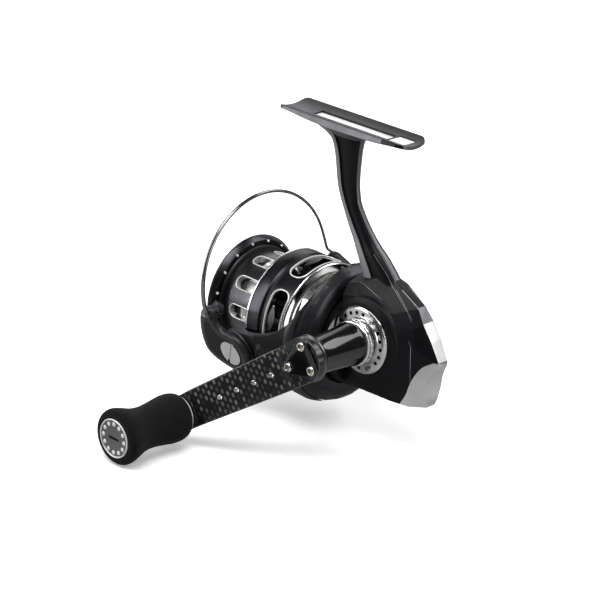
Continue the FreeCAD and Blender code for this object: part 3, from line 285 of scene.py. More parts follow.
# name: darkest and lightest colour, least and most roughness, other settings
PAINTS = {
    # real gray paint of the foot, stem and case; also the painted highlight on the stem's groove lines
    "gray_paint_and_line_highlight": [(0.085, 0.086, 0.092), (0.115, 0.116, 0.124), (0.3, 0.42), {"metal": 0.55}],
    "saddle_paint": [(0.04, 0.041, 0.045), (0.055, 0.056, 0.061), (0.3, 0.42), {"metal": 0.5}],
    "black_paint": [(0.0045, 0.0045, 0.0058), (0.007, 0.007, 0.0088), (0.34, 0.46), {"specular": 0.14}],
    # real black paint of the stem's hollows and the trim's sides; also painted shade in the pivot screws'
    # hollows and a painted dark reflection on the foot's rear toe
    "black_side_and_painted_shade": [(0.003, 0.003, 0.004), (0.005, 0.005, 0.0062), (0.28, 0.4), {"specular": 0.16}],
    # the stem's real pale flange colour; also a painted highlight down the case's back ridge
    "flange_gray_and_ridge_highlight": [(0.19, 0.191, 0.202), (0.24, 0.241, 0.255), (0.36, 0.48), {"metal": 0.3}],
    # painted highlight for the rotor arms' top edges
    "arm_edge_highlight": [(0.075, 0.076, 0.082), (0.1, 0.101, 0.108), (0.32, 0.44), {"metal": 0.45}],
    "cut_edge": [(0.8, 0.8, 0.79), (0.92, 0.92, 0.91), (0.34, 0.5), {"metal": 0.45}],
    "cap_gray": [(0.085, 0.085, 0.09), (0.14, 0.14, 0.146), (0.4, 0.55), {"metal": 0.3, "bump": 0.4}],
    "rotor_paint": [(0.019, 0.019, 0.022), (0.028, 0.028, 0.032), (0.28, 0.4), {"metal": 0.45}],
    "lever_paint": [(0.03, 0.03, 0.034), (0.041, 0.041, 0.046), (0.3, 0.42), {"metal": 0.45}],
    "gloss_black": [(0.003, 0.003, 0.0035), (0.005, 0.005, 0.006), (0.07, 0.14),
                    {"coat": 0.25, "bump": 0.04}],
    # painted shade: near-black for the walls and floors of slots, grooves, holes and undercuts, where shade
    # falls
    "painted_recess_shade": [(0.001, 0.001, 0.001), (0.003, 0.003, 0.003), (0.4, 0.6), {}],
    "white_label": [(0.78, 0.78, 0.79), (0.86, 0.86, 0.86), (0.35, 0.45), {"bump": 0.05}],
    "satin_silver": [(0.6, 0.59, 0.57), (0.76, 0.75, 0.73), (0.28, 0.42), {"metal": 1.0}],
    "bright_edge": [(0.82, 0.82, 0.84), (0.95, 0.95, 0.96), (0.14, 0.24), {"metal": 1.0}],
    "coin_metal": [(0.72, 0.71, 0.68), (0.85, 0.84, 0.81), (0.24, 0.36), {"metal": 1.0}],
    "steel": [(0.36, 0.36, 0.38), (0.5, 0.5, 0.52), (0.2, 0.32), {"metal": 1.0, "grain": 4000.0}],
    "wire_steel": [(0.2, 0.2, 0.21), (0.3, 0.3, 0.31), (0.1, 0.18), {"metal": 1.0}],
    "brass": [(0.55, 0.37, 0.14), (0.68, 0.48, 0.2), (0.2, 0.34), {"metal": 1.0}],
    "warm_socket": [(0.22, 0.16, 0.07), (0.4, 0.3, 0.15), (0.25, 0.4), {"metal": 1.0}],
    "felt": [(0.05, 0.05, 0.05), (0.09, 0.09, 0.088), (0.85, 0.95), {"grain": 1500.0, "bump": 0.6}],
}
# name: the axis of the turning, darkest and lightest colour, least and most roughness
TURNED = {
    "chrome_ring": [CRANK, (0.62, 0.62, 0.61), (0.78, 0.78, 0.77), (0.1, 0.22)],
    "chrome_knob": [KNOB, (0.62, 0.62, 0.61), (0.78, 0.78, 0.77), (0.1, 0.2)],
    "hub_metal": [CRANK, (0.1, 0.1, 0.105), (0.15, 0.15, 0.155), (0.25, 0.38)],
    "spool_lip_metal": [SHAFT, (0.035, 0.036, 0.04), (0.06, 0.061, 0.066), (0.22, 0.34)],
    "spool_metal": [SHAFT, (0.036, 0.036, 0.041), (0.06, 0.06, 0.066), (0.22, 0.36)],
    "arbor_metal": [SHAFT, (0.1, 0.1, 0.108), (0.16, 0.16, 0.17), (0.2, 0.36)],
    "drum_metal": [SHAFT, (0.5, 0.49, 0.47), (0.7, 0.69, 0.66), (0.16, 0.3)],
}
LOOKS = {name: coloured(name, *values, **more) for name, (*values, more) in PAINTS.items()}
LOOKS.update({name: turned_metal(name, *values) for name, values in TURNED.items()})
LOOKS.update({"carbon": carbon_weave(), "foam": foam_rubber()})


# ---------------------------------------------------------------- shape helpers
def piece(name, body, matrix, points, faces, looks, marks=None, smooth=40.0):
    """A mesh in a space's millimetres, with its looks, that rides on a body."""
    mesh = bpy.data.meshes.new(name)
    mesh.from_pydata([matrix @ Vector(point) for point in points], [], faces)
    made = bpy.data.objects.new(name, mesh)
    bpy.context.scene.collection.objects.link(made)
    for look in looks:
        mesh.materials.append(LOOKS[look])
    if marks:
        mesh.polygons.foreach_set("material_index", marks)
    shell = bmesh.new()
    shell.from_mesh(mesh)
    bmesh.ops.remove_doubles(shell, verts=shell.verts, dist=1e-7)
    bmesh.ops.recalc_face_normals(shell, faces=shell.faces)
    shell.to_mesh(mesh)
    shell.free()
    soften(made, smooth)
    if body:
        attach(made, body)
    return made


def soften(made, angle=35.0):
    """Shade a mesh smoothly except where its faces meet at more than an angle."""
    for face in made.data.polygons:
        face.use_smooth = True
    made.data.set_sharp_from_angle(angle=math.radians(angle))


def spline(points, per=6, closed=False):
    """A smooth line through points in two or three dimensions."""
    points = [Vector(point) for point in points]
    count = len(points)
    spots = []
    for i in range(count if closed else count - 1):
        if closed:
            a, b, c, d = (points[(i + k) % count] for k in (-1, 0, 1, 2))
        else:
            b, c = points[i], points[i + 1]
            a = points[i - 1] if i > 0 else b * 2 - c
            d = points[i + 2] if i + 2 < count else c * 2 - b
        for step in range(per):
            spots.append(catmull(a, b, c, d, step / per))
    if not closed:
        spots.append(points[-1])
    return spots


def catmull(a, b, c, d, share):
    """A point of the smooth curve between b and c, whose neighbours are a and d."""
    square, cube = share * share, share * share * share
    return (b * 2 + (c - a) * share + (a * 2 - b * 5 + c * 4 - d) * square
            + (b * 3 - a - c * 3 + d) * cube) * 0.5


def rounded(outline, radius):
    """A closed outline whose corners are replaced by arcs of about one radius."""
    steps = 3
    spots = []
    count = len(outline)
    for i in range(count):
        before, here, after = (Vector(outline[(i + k) % count]) for k in (-1, 0, 1))
        back, ahead = before - here, after - here
        cut = min(radius, back.length * 0.45, ahead.length * 0.45)
        if cut < 1e-4 or back.angle(ahead) > 3.0:
            spots.append(here)
            continue
        first, last = here + back.normalized() * cut, here + ahead.normalized() * cut
        for step in range(steps + 1):
            t = step / steps
            spots.append(first * (1 - t) ** 2 + here * 2 * t * (1 - t) + last * t * t)
    return spots


def box_outline(low, high, radius):
    """A rounded rectangle between two opposite corners."""
    return rounded([low, (high[0], low[1]), high, (low[0], high[1])], radius)


def ramp(value, start, end):
    """How far a value is from start to end, as a share from 0 to 1."""
    return min(1.0, max(0.0, (value - start) / (end - start)))


def circle(middle, radius, steps):
    """A round outline."""
    turns = [2 * math.pi * k / steps for k in range(steps)]
    return [(middle[0] + radius * math.cos(t), middle[1] + radius * math.sin(t)) for t in turns]


def corner_arcs(halves, cuts, steps):
    """The four corner arcs of a rounded rectangle round the origin."""
    arcs = []
    for quarter, ways in enumerate(((1, 1), (-1, 1), (-1, -1), (1, -1))):
        turns = [math.pi / 2 * (quarter + step / steps) for step in range(steps + 1)]
        middle = [way * (half - cut) for way, half, cut in zip(ways, halves, cuts)]
        arcs.append([(middle[0] + cuts[0] * math.cos(t), middle[1] + cuts[1] * math.sin(t)) for t in turns])
    return arcs


def lathe(name, body, matrix, profile, looks, steps=144, marks=None, round_by=0.15):
    """A closed profile of (along, radius) corners turned about a space's X axis."""
    line = rounded(profile, round_by)
    count = len(line)
    points = [around(p.y, 360 * step / steps, p.x) for step in range(steps) for p in line]
    faces = []
    kinds = []
    for step in range(steps):
        here, ahead = step * count, (step + 1) % steps * count
        for i in range(count):
            j = (i + 1) % count
            faces.append((here + i, here + j, ahead + j, ahead + i))
            kinds.append(marks(line[i].x / 2 + line[j].x / 2, line[i].y / 2 + line[j].y / 2) if marks else 0)
    return piece(name, body, matrix, points, faces, looks, kinds)


def loft(name, body, matrix, rings, looks, marks=None, smooth=40.0):
    """A skin over rings of equal length, closed at both ends."""
    count = len(rings[0])
    points = [tuple(point) for ring in rings for point in ring]
    faces = []
    kinds = []
    for k in range(len(rings) - 1):
        here, ahead = k * count, (k + 1) * count
        for i in range(count):
            j = (i + 1) % count
            faces.append((here + i, here + j, ahead + j, ahead + i))
            kinds.append(marks(k, i) if marks else 0)
    faces += [tuple(range(count)), tuple(range(len(points) - count, len(points)))]
    kinds += [kinds[0], kinds[-1]]
    return piece(name, body, matrix, points, faces, looks, kinds, smooth)


def inset(outline, by):
    """An outline moved inwards along its own normals."""
    count = len(outline)
    area = sum(outline[i].x * outline[(i + 1) % count].y - outline[(i + 1) % count].x * outline[i].y
               for i in range(count))
    sign = 1 if area > 0 else -1
    moved = []
    for i in range(count):
        way = (outline[(i + 1) % count] - outline[i - 1]).normalized()
        moved.append(outline[i] + Vector((-way.y, way.x)) * sign * by)
    return moved


def plate(name, body, matrix, outline, low, high, edge, looks, crown=0.0):
    """A plate between two heights of a space's Z with rounded rims and, if asked, a crowned face."""
    steps = 4
    thick = high - low
    turns = [math.pi / 2 * step / steps for step in range(steps + 1)]
    levels = [(edge * (1 - math.sin(turn)), edge * (1 - math.cos(turn))) for turn in turns]
    path = levels + [(by, thick - up) for by, up in reversed(levels)]
    if crown:
        path += [(edge + crown * k, thick + 0.12 * crown * math.sin(math.pi / 2 * k / 3)) for k in (1, 2, 3)]
    rings = [[(p.x, p.y, low + up) for p in inset(outline, by)] for by, up in path]
    return loft(name, body, matrix, rings, looks)


def combine(made, others, operation):
    """Join, cut or trim a mesh with others and take them away."""
    for other in others:
        change = made.modifiers.new("combine", "BOOLEAN")
        change.operation = operation
        change.object = other
        change.solver = "EXACT"
        change.material_mode = "TRANSFER"
        bake(made)
        bpy.data.objects.remove(other)
    return made


def cut(made, tools):
    """Take cutters away from a mesh."""
    return combine(made, tools, "DIFFERENCE")


def bake(made):
    """Make a mesh's modifiers part of it."""
    graph = bpy.context.evaluated_depsgraph_get()
    graph.update()
    mesh = bpy.data.meshes.new_from_object(made.evaluated_get(graph))
    made.modifiers.clear()
    made.data = mesh


def paint(made, matrix, look, test):
    """Give a look to the faces whose middle and normal, in a space's millimetres, pass a test."""
    slot_index = made.data.materials.find(LOOKS[look].name)
    if slot_index < 0:
        made.data.materials.append(LOOKS[look])
        slot_index = len(made.data.materials) - 1
    back = matrix.inverted()
    turn = back.to_3x3().normalized()
    for face in made.data.polygons:
        if test(back @ face.center, turn @ face.normal):
            face.material_index = slot_index
    return made


def around(radius, angle, along=0.0):
    """A place at a radius and an angle, in degrees, round a space's X axis."""
    turn = math.radians(angle)
    return Vector((along, radius * math.cos(turn), radius * math.sin(turn)))


def tool(name, matrix, points, look="bright_edge"):
    """A cutter whose points are two outlines of equal length, one for each end."""
    count = len(points) // 2
    faces = [tuple(range(count)), tuple(range(count, 2 * count))]
    faces += [(i, (i + 1) % count, count + (i + 1) % count, count + i) for i in range(count)]
    return piece(name, None, matrix, points, faces, (look,))


def polar_prism(name, matrix, shape, inner, outer):
    """A cutter whose outline is given in (along, degrees) and whose walls run straight out from the axis."""
    return tool(name, matrix, [around(radius, spot.y, spot.x) for radius in (inner, outer) for spot in shape])


def stadium(middle, half_along, half_degrees, radius, corner, steps=6):
    """A rounded window in (along, degrees) on a drum of a given radius; corner is in millimetres."""
    corner_degrees = corner / (math.pi * radius / 180)
    arcs = corner_arcs((half_along, half_degrees), (corner, corner_degrees), steps)
    return [Vector((middle[0] + along, middle[1] + turn)) for arc in arcs for along, turn in arc]


def prism(name, matrix, axis, outline, low, high, look="bright_edge"):
    """A cutter of an outline across one of a space's axes, between two places along it."""
    points = []
    for end in (low, high):
        for first, second in outline:
            spot = [first, second]
            spot.insert(axis, end)
            points.append(spot)
    return tool(name, matrix, points, look)


def drum(name, matrix, start, end, radius):
    """A plain round cutter along a space's X axis."""
    return prism(name, matrix, X, circle((0, 0), radius, 96), start, end)


def between(table, at):
    """A value read from a smooth curve through (place, value) pairs in order of place."""
    if at <= table[0][0]:
        return table[0][1]
    if at >= table[-1][0]:
        return table[-1][1]
    i = max(k for k in range(len(table) - 1) if table[k][0] <= at)
    (x0, y0), (x1, y1) = table[i], table[i + 1]
    slopes = [(y3 - y2) / (x3 - x2) for (x2, y2), (x3, y3) in zip(table, table[1:])]

    def grade(k):
        """The curve's slope at a pair, level where the values turn round."""
        if k == 0 or k == len(table) - 1:
            return slopes[min(k, len(slopes) - 1)]
        if slopes[k - 1] * slopes[k] <= 0:
            return 0.0
        return 2 * slopes[k - 1] * slopes[k] / (slopes[k - 1] + slopes[k])

    wide = x1 - x0
    t = (at - x0) / wide
    return ((2 * t ** 3 - 3 * t * t + 1) * y0 + (t ** 3 - 2 * t * t + t) * wide * grade(i)
            + (3 * t * t - 2 * t ** 3) * y1 + (t ** 3 - t * t) * wide * grade(i + 1))


# ---------------------------------------------------------------- foot and stem
FOOT_HALF = reach("housing", X)
FOOT_EDGE = 6.8
SADDLE = 17.2
SLOT_FLOOR = -0.9
FOOT_THICK = [(-29.85, 1.3), (-24.0, 1.7), (-14.0, 2.5), (0.0, 2.9), (14.0, 2.6), (24.0, 1.8), (29.85, 1.4)]


def foot():
    """The saddle that the rod's reel seat clamps: hollow on top, thin at both toes."""
    shares = [-1 + 2 * k / 64 for k in range(65)]
    stations = [FOOT_HALF * (1 - (1 - abs(t)) ** 1.4) * (1 if t > 0 else -1) for t in shares]
    across = [1 - 2 * k / 12 for k in range(13)]
    rings = []
    for x in stations:
        corner = 2.0 if x > 0 else 3.6
        left = FOOT_HALF - abs(x)
        half = FOOT_EDGE
        if left <= corner:
            half += math.sqrt(max(corner ** 2 - (corner - left) ** 2, 0.0)) - corner
        half = max(half, FOOT_EDGE - corner + 0.05)
        thick = between(FOOT_THICK, x)
        half_turn = math.asin(half / SADDLE)
        top = [(-half_turn * share, SADDLE) for share in across]
        rim = [(0.6, 0.1), (0.85, 0.28), (1.0, 0.55)]
        side = [(half_turn + 0.2 / SADDLE * (a - 1), SADDLE + min(thick, 0.9) * d) for a, d in rim]
        bulge = [0.86 + 0.14 * math.cos(math.pi / 2 * share * share) for share in across]
        low = [(half_turn * share * 0.985, SADDLE + thick * full) for share, full in zip(across, bulge)]
        other = [(-turn, radius) for turn, radius in reversed(side)]
        rings.append([(x, radius * math.sin(turn), SADDLE - radius * math.cos(turn))
                      for turn, radius in top + side + low + other])
    return loft("foot_and_stem", "frame", ROW, rings, ("gray_paint_and_line_highlight",))


def cut_saddle(whole):
    """Open the saddle over the stem, its long slot and the label's seat, and paint them: the saddle's face a
    darker gray, and the walls of the slot and seat near-black as painted shade.
    """
    slot = box_outline((-18.8, -2.6), (17.2, 2.6), 0.5)
    seat = box_outline((-27.3, -3.3), (-19.7, 3.3), 0.4)
    saddle = drum("saddle", ROW @ Matrix.Translation((0, 0, SADDLE)), -26.0, 26.0, SADDLE - 0.03)
    whole = cut(whole, [saddle, prism("slot", ROW, Z, slot, SLOT_FLOOR, 3.0),
                        prism("seat", ROW, Z, seat, -0.3, 3.0)])
    paint(whole, ROW, "saddle_paint", lambda spot, normal: spot.z > -0.7 and normal.z > 0.6)
    # painted shade: near-black on the walls of the slot and the label's seat
    paint(whole, ROW, "painted_recess_shade", lambda spot, normal: abs(spot.y) < 3.35 and -1.0 < spot.z < 0.35
          and abs(normal.z) < 0.5 and abs(spot.x) < 27.5)
    return whole


def foot_insert():
    """The pale strip on the floor of the foot's slot."""
    corners = box_outline((-18.6, -2.45), (17.0, 2.45), 0.45)
    low = SLOT_FLOOR + 0.01
    plate("foot_slot_strip", "frame", ROW, corners, low, -0.55, 0.06, ("white_label",))


STEM_FRONT = [(-56.0, -14.5), (-50.0, -11.8), (-47.7, -10.7), (-40.4, -6.2), (-31.9, -0.9), (-21.8, 3.4),
              (-10.1, 5.2), (-6.4, 6.4), (-4.4, 8.8), (-3.0, 12.4), (-1.9, 17.0), (-0.9, 21.0)]
STEM_REAR = [(-56.0, -31.4), (-52.1, -27.4), (-48.0, -23.6), (-44.3, -19.9), (-40.0, -14.9), (-32.7, -8.9),
             (-26.9, -5.6), (-19.5, -4.6), (-10.0, -5.0), (-5.4, -5.8), (-3.4, -7.0), (-1.9, -10.5),
             (-0.9, -15.0)]
STEM_HALF = [(-56.0, 4.6), (-50.0, 4.6), (-46.0, 4.4), (-38.5, 3.5), (-30.0, 3.1), (-21.0, 3.2), (-11.0, 3.6),
             (-6.0, 4.0), (-3.8, 4.6), (-2.6, 5.3), (-1.6, 6.0), (-0.9, 6.3)]
POCKET_TOP = -4.2


def stem_half_ring(z):
    """Half of the stem's outline at a height, from its front to its back on the handle's side."""
    front, rear, half = (between(table, z) for table in (STEM_FRONT, STEM_REAR, STEM_HALF))
    fade = ramp(z, POCKET_TOP, POCKET_TOP - 2.2) ** 0.5
    deep = 0.75 * fade
    flange = 2.3 + 2.4 * ramp(z, -30.0, -52.0) + (1 - fade) * 2.0
    step = front - flange
    floor_half = half - deep - 0.06 * fade
    far_in = rear + min(5.2, (front - rear) * 0.42)
    start = step - 0.8
    ring = [(front, 0.0), (front - 0.05, half * 0.5), (front - 0.3, half * 0.82), (front - 0.75, half * 0.97),
            (front - 1.2, half), (step, half), (step - 0.22, half - 0.12 * fade), (step - 0.3, half - deep),
            (start, floor_half)]
    ring += [(start + (far_in - start) * k / 5, floor_half) for k in (1, 2, 3, 4)]
    for turn in (math.radians(degrees) for degrees in (0, 15, 30, 45, 57, 68, 79)):
        ring.append((far_in + (rear - far_in) * math.sin(turn), floor_half * math.cos(turn)))
    return ring + [(rear, 0.0)]


def stem():
    """The leaning stem: a pale front flange, a black hollow along each side and a pale rounded back."""
    heights = [-56.0 + 55.1 * (k / 78) for k in range(79)]
    rings = []
    for z in heights:
        near = stem_half_ring(z)
        hug = ramp(z, -9.0, -3.0)
        rings.append([(x, y, z + hug * y * y / (2 * SADDLE))
                      for x, y in near + [(x, -y) for x, y in reversed(near[1:-1])]])
    count = len(rings[0])
    side = count // 2

    def kind(span, i):
        place = i if i < side else count - 1 - i
        if place < 6:
            return 2
        return 1 if place < side - 2 and heights[span] < POCKET_TOP - 0.4 else 0

    looks = ("gray_paint_and_line_highlight", "black_side_and_painted_shade", "flange_gray_and_ridge_highlight")
    return loft("stem_skin", None, ROW, rings, looks, kind, smooth=50.0)


# ---------------------------------------------------------------- gear case
# the corners (x, z) of the case, by how far they are from its middle on the handle side and the far side
CASE_SPOTS = {
    (0.0, 0.0): [(-11.0, -50.6), (-22.5, -48.6), (-41.8, -93.4), (-14.0, -92.8), (-8.6, -88.5),
                 (-8.6, -53.5)],
    (1.8, 1.8): [(-29.4, -52.3), (-37.8, -56.8)],
    (2.5, 2.5): [(-41.4, -61.8), (-45.4, -67.0)],
    (2.1, 2.1): [(-49.4, -74.3), (-45.9, -89.2), (-44.6, -92.0)],
    (4.2, 5.6): [(-25.4, -53.0), (-43.6, -73.4), (-43.4, -88.4)],
    (6.8, 7.4): [(-41.2, -75.0), (-41.2, -86.0)],
    (8.4, 9.3): [(-9.9, -54.0), (-14.0, -53.2)],
    (6.4, 8.0): [(-40.0, -92.0)],
    (10.7, 10.7): [(-9.9, -86.6), (-9.9, -58.0), (-15.5, -56.6), (-28.0, -60.6), (-34.0, -65.6),
                   (-35.4, -90.2), (-13.8, -90.8)],
}
BEYOND = 20.0  # past either side of the case
CREASE = 1.5
TAIL_FRONT = [(-34.0, -97.0), (-37.4, -91.4), (-39.6, -87.0), (-41.2, -81.4), (-43.8, -76.4), (-47.2, -73.9)]


def case_block():
    """The faceted block of the gear case with softened creases and the tail's hollow."""
    shell = bmesh.new()
    for (near, far), spots in CASE_SPOTS.items():
        for x, z in spots:
            for y in sorted({near, -far}):
                shell.verts.new((x, y, z))
    hull = bmesh.ops.convex_hull(shell, input=shell.verts)
    bmesh.ops.delete(shell, geom=[v for v in hull["geom_interior"] if isinstance(v, bmesh.types.BMVert)],
                     context="VERTS")
    bmesh.ops.dissolve_limit(shell, angle_limit=math.radians(2.0), verts=shell.verts, edges=shell.edges)
    bmesh.ops.bevel(shell, geom=list(shell.edges), offset=CREASE, segments=5, profile=0.55, affect="EDGES",
                    clamp_overlap=True)
    points = [tuple(v.co) for v in shell.verts]
    shell.verts.index_update()
    faces = [tuple(v.index for v in face.verts) for face in shell.faces]
    shell.free()
    made = piece("case_block", None, ROW, points, faces, ("black_paint",))
    hollow = circle((-58.5, -86.0), 14.0, 90)
    return cut(made, [prism("hollow", ROW, Y, hollow, -BEYOND, BEYOND)])


def copy_of(made, name):
    """A second object with its own copy of a mesh."""
    twin = bpy.data.objects.new(name, made.data.copy())
    bpy.context.scene.collection.objects.link(twin)
    return twin


def adopt(made, node):
    """Let a trimmed block ride on the frame in place of a CAD node."""
    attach(made, "frame")
    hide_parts(node)


COVER_FACE = 7.4
SEAM = 0.08
TRIM_HALF = 8.2
CRANK_HOLE = 5.5
RING_SEAT = (11.2, 19.0)
OSCILLATION = space(JOINTS["oscillation_turn"]["pos_m"], SIDEWAYS, UP)


def slider_room(made):
    """Cut the way that the slider travels behind the gears."""
    way = box_outline((-41.6, -87.2), (-24.0, -69.9), 0.5)
    gear_way = drum("gear_way", OSCILLATION, -6.4, -3.5, 8.65)
    return cut(made, [prism("slider_way", ROW, Y, way, -3.85, 2.0), gear_way])


def ridge_highlight(spot, normal):
    """The back of the case between the stem and the trim, where a pale painted highlight runs down the ridge.
    """
    return -62.6 < spot.z < -53.0 and abs(spot.y) < 2.6 and normal.x < -0.3


def toe_painted_reflection(spot, normal):
    """The side and underside of the foot's rear toe, painted near-black as a painted dark reflection and shade
    on its gloss.
    """
    return spot.x < -20.3 and spot.z > -3.5 and (abs(normal.y) > 0.55 or normal.z < -0.3)


def groove_highlight_lines(whole):
    """Two fine grooves down the stem's black side and the seam round the nose, drawn as thin gray beads whose
    paleness is a painted highlight along each groove.
    """
    lines = {
        "stem_line_long": [(-16.5, 3.6, -42.4), (-24.0, 4.2, -48.2), (-31.4, 5.0, -54.2),
                           (-38.2, 5.6, -59.8)],
        "stem_line_short": [(-28.4, 4.6, -50.8), (-33.6, 5.0, -55.4), (-38.0, 5.6, -60.8)],
        "nose_seam": [(-14.2, 8.8, -51.0), (-18.6, 9.4, -51.8), (-22.8, 9.9, -54.0), (-25.8, 10.3, -57.2),
                      (-27.4, 10.5, -61.0)],
    }
    down_the_side = Vector((0.77, 0, 0.64))
    wide, tall = 0.16, 0.11
    turns = [2 * math.pi * k / 8 for k in range(8)]
    mesh = whole.data
    skin = BVHTree.FromPolygons([v.co for v in mesh.vertices], [face.vertices for face in mesh.polygons])
    for name, route in lines.items():
        rings = []
        for spot in spline(route, 8):
            place, normal = skin.find_nearest(ROW @ spot)[:2]
            middle = ROW.inverted() @ place - normal * 0.04
            across = normal.cross(down_the_side).normalized()
            rings.append([middle + across * wide * math.sin(t) + normal * tall * math.cos(t) for t in turns])
        # the beads' paleness is a painted highlight along each groove
        loft(name, "frame", ROW, rings, ("gray_paint_and_line_highlight",))


def within(made, name, outline, low, high):
    """A copy of a block, trimmed to an outline in the XZ plane between two values of Y."""
    return combine(copy_of(made, name), [prism("zone", ROW, Y, outline, low, high)], "INTERSECT")


def dress(made, angle, *looks):
    """Soften a trimmed block and give it new looks in place of its old ones."""
    made.data.materials.clear()
    for look in looks:
        made.data.materials.append(LOOKS[look])
    soften(made, angle)


def tail_cap(solid, front):
    """The bright cap behind a line down the side of the case."""
    outline = front + [(-56.0, -73.4), (-56.0, -100.0)]
    tail = slider_room(within(solid, "tail_cap_shell", outline, -BEYOND, BEYOND))
    dress(tail, 35.0, "satin_silver")
    adopt(tail, "tail_cap")


def rear_trim(rest):
    """The bright strip down the case's back edge; gives back the case without it."""
    outline = [(-39.2, -63.7), (-43.6, -58.6), (-58.0, -57.1), (-58.0, -74.2), (-43.6, -74.2)]
    trim = within(rest, "rear_trim_strip", outline, -TRIM_HALF, TRIM_HALF)
    rest = cut(rest, [prism("zone", ROW, Y, outline, -TRIM_HALF - SEAM, TRIM_HALF + SEAM)])
    trim = slider_room(trim)
    dress(trim, 30.0, "cut_edge", "black_side_and_painted_shade")
    paint(trim, ROW, "black_side_and_painted_shade", lambda spot, normal: abs(spot.y) > 2.7 or normal.x > 0)
    adopt(trim, "rear_trim")
    return rest


def side_cover(rest):
    """The cover round the crank with its turned boss; gives back the case without it."""
    outline = [(-4.0, -50.5), (-15.0, -50.5), (-28.0, -56.4), (-34.6, -61.4), (-60.0, -84.0), (-60.0, -99.0),
               (-4.0, -99.0)]
    cover = within(rest, "side_cover_shell", outline, COVER_FACE, BEYOND)
    rest = cut(rest, [prism("zone", ROW, Y, outline, COVER_FACE - SEAM, BEYOND)])
    cover = cut(cover, [drum("hole", CRANK, 5.0, 16.0, CRANK_HOLE), drum("seat", CRANK, *RING_SEAT, 12.7)])
    dress(cover, 35.0, "black_paint")
    adopt(cover, "side_cover")
    boss = [(8.4, 5.5), (8.4, 15.6), (10.6, 15.4), (11.28, 13.2), (11.28, 5.5)]
    lathe("cover_boss", "frame", CRANK, boss, ("black_paint",), round_by=0.5)
    return rest


def gear_case():
    """Housing, side cover, bright tail cap and rear trim, cut from one block with fine seams between."""
    solid = case_block()
    tail_front = [tuple(p) for p in spline(TAIL_FRONT, 5)]
    tail_cap(solid, tail_front)
    body_zone = [(x + SEAM, z) for x, z in tail_front]
    body_zone += [(-47.5, -73.7), (-56.0, -73.2), (-56.0, -40.0), (0.0, -40.0), (0.0, -100.0)]
    rest = combine(solid, [prism("zone", ROW, Y, body_zone, -BEYOND, BEYOND)], "INTERSECT")
    rest = side_cover(rear_trim(rest))

    nose = [(-12.5, 0.0), (-12.5, 17.2), (-4.4, 17.2), (-3.6, 16.4), (-3.6, 12.0), (-2.3, 12.0), (-2.3, 0.0)]
    nose_skin = lathe("nose", None, SHAFT, nose, ("black_paint",), round_by=0.3)
    rest = combine(rest, [nose_skin, stem()], "UNION")
    inside = [(-10.5, -58.0), (-20.0, -57.5), (-28.0, -61.5), (-34.5, -67.0), (-36.6, -72.0), (-36.6, -86.0),
              (-34.5, -88.8), (-14.5, -89.2), (-10.5, -86.6)]
    rooms = [prism("room", ROW, Y, inside, -7.0, COVER_FACE), drum("gears", CRANK, 1.4, 6.2, 15.7),
             drum("front_room", SHAFT, -11.0, -5.0, 9.0), drum("front_bore", SHAFT, -5.2, -2.0, 6.5),
             drum("hole", CRANK, -14.0, 16.0, CRANK_HOLE), drum("ring_seat", CRANK, *RING_SEAT, 12.8)]
    rest = cut(rest, rooms)
    whole = combine(foot(), [slider_room(rest)], "UNION")
    paint(whole, ROW, "black_side_and_painted_shade", lambda spot, normal: -58.0 < spot.z < -44.0 and spot.x < -17.0
          and abs(spot.y) > 1.9)
    # painted highlight down the case's back ridge
    paint(whole, ROW, "flange_gray_and_ridge_highlight", ridge_highlight)
    cut_saddle(whole)
    # painted dark reflection and shade on the rear toe's gloss
    paint(whole, ROW, "black_side_and_painted_shade", toe_painted_reflection)
    soften(whole, 38.0)
    groove_highlight_lines(whole)
    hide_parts("housing")


# ---------------------------------------------------------------- spool
SPOOL_REAR = reach("spool_skirt", X, low=True)
LIP_FRONT = reach("spool_lip", X)
LIP_X = LIP_FRONT - 1.5
SKIRT_FRONT = reach("spool", X, low=True) + 1.0
SKIRT_R = (reach("spool_skirt", Y) - reach("spool_skirt", Y, low=True)) / 2
ARBOR_R = 17.75
SKIRT_WALL = 1.3
GATE_TURN = 14.4
GATE_COUNT = 5
GATE_X = 13.2
GATE_CORNER = 3.4
SLOT_COUNT = 10
SLOT_X = 34.4
SLOT_CORNER = 2.3
LIP_HOLE_COUNT = 16
LIP_HOLE_R = 0.62


def outwards(spot):
    """The way straight out from a space's X axis at a place."""
    return Vector((0, spot.y, spot.z)).normalized()


def from_axis(spot):
    """How far a place is from a space's X axis."""
    return math.hypot(spot.y, spot.z)


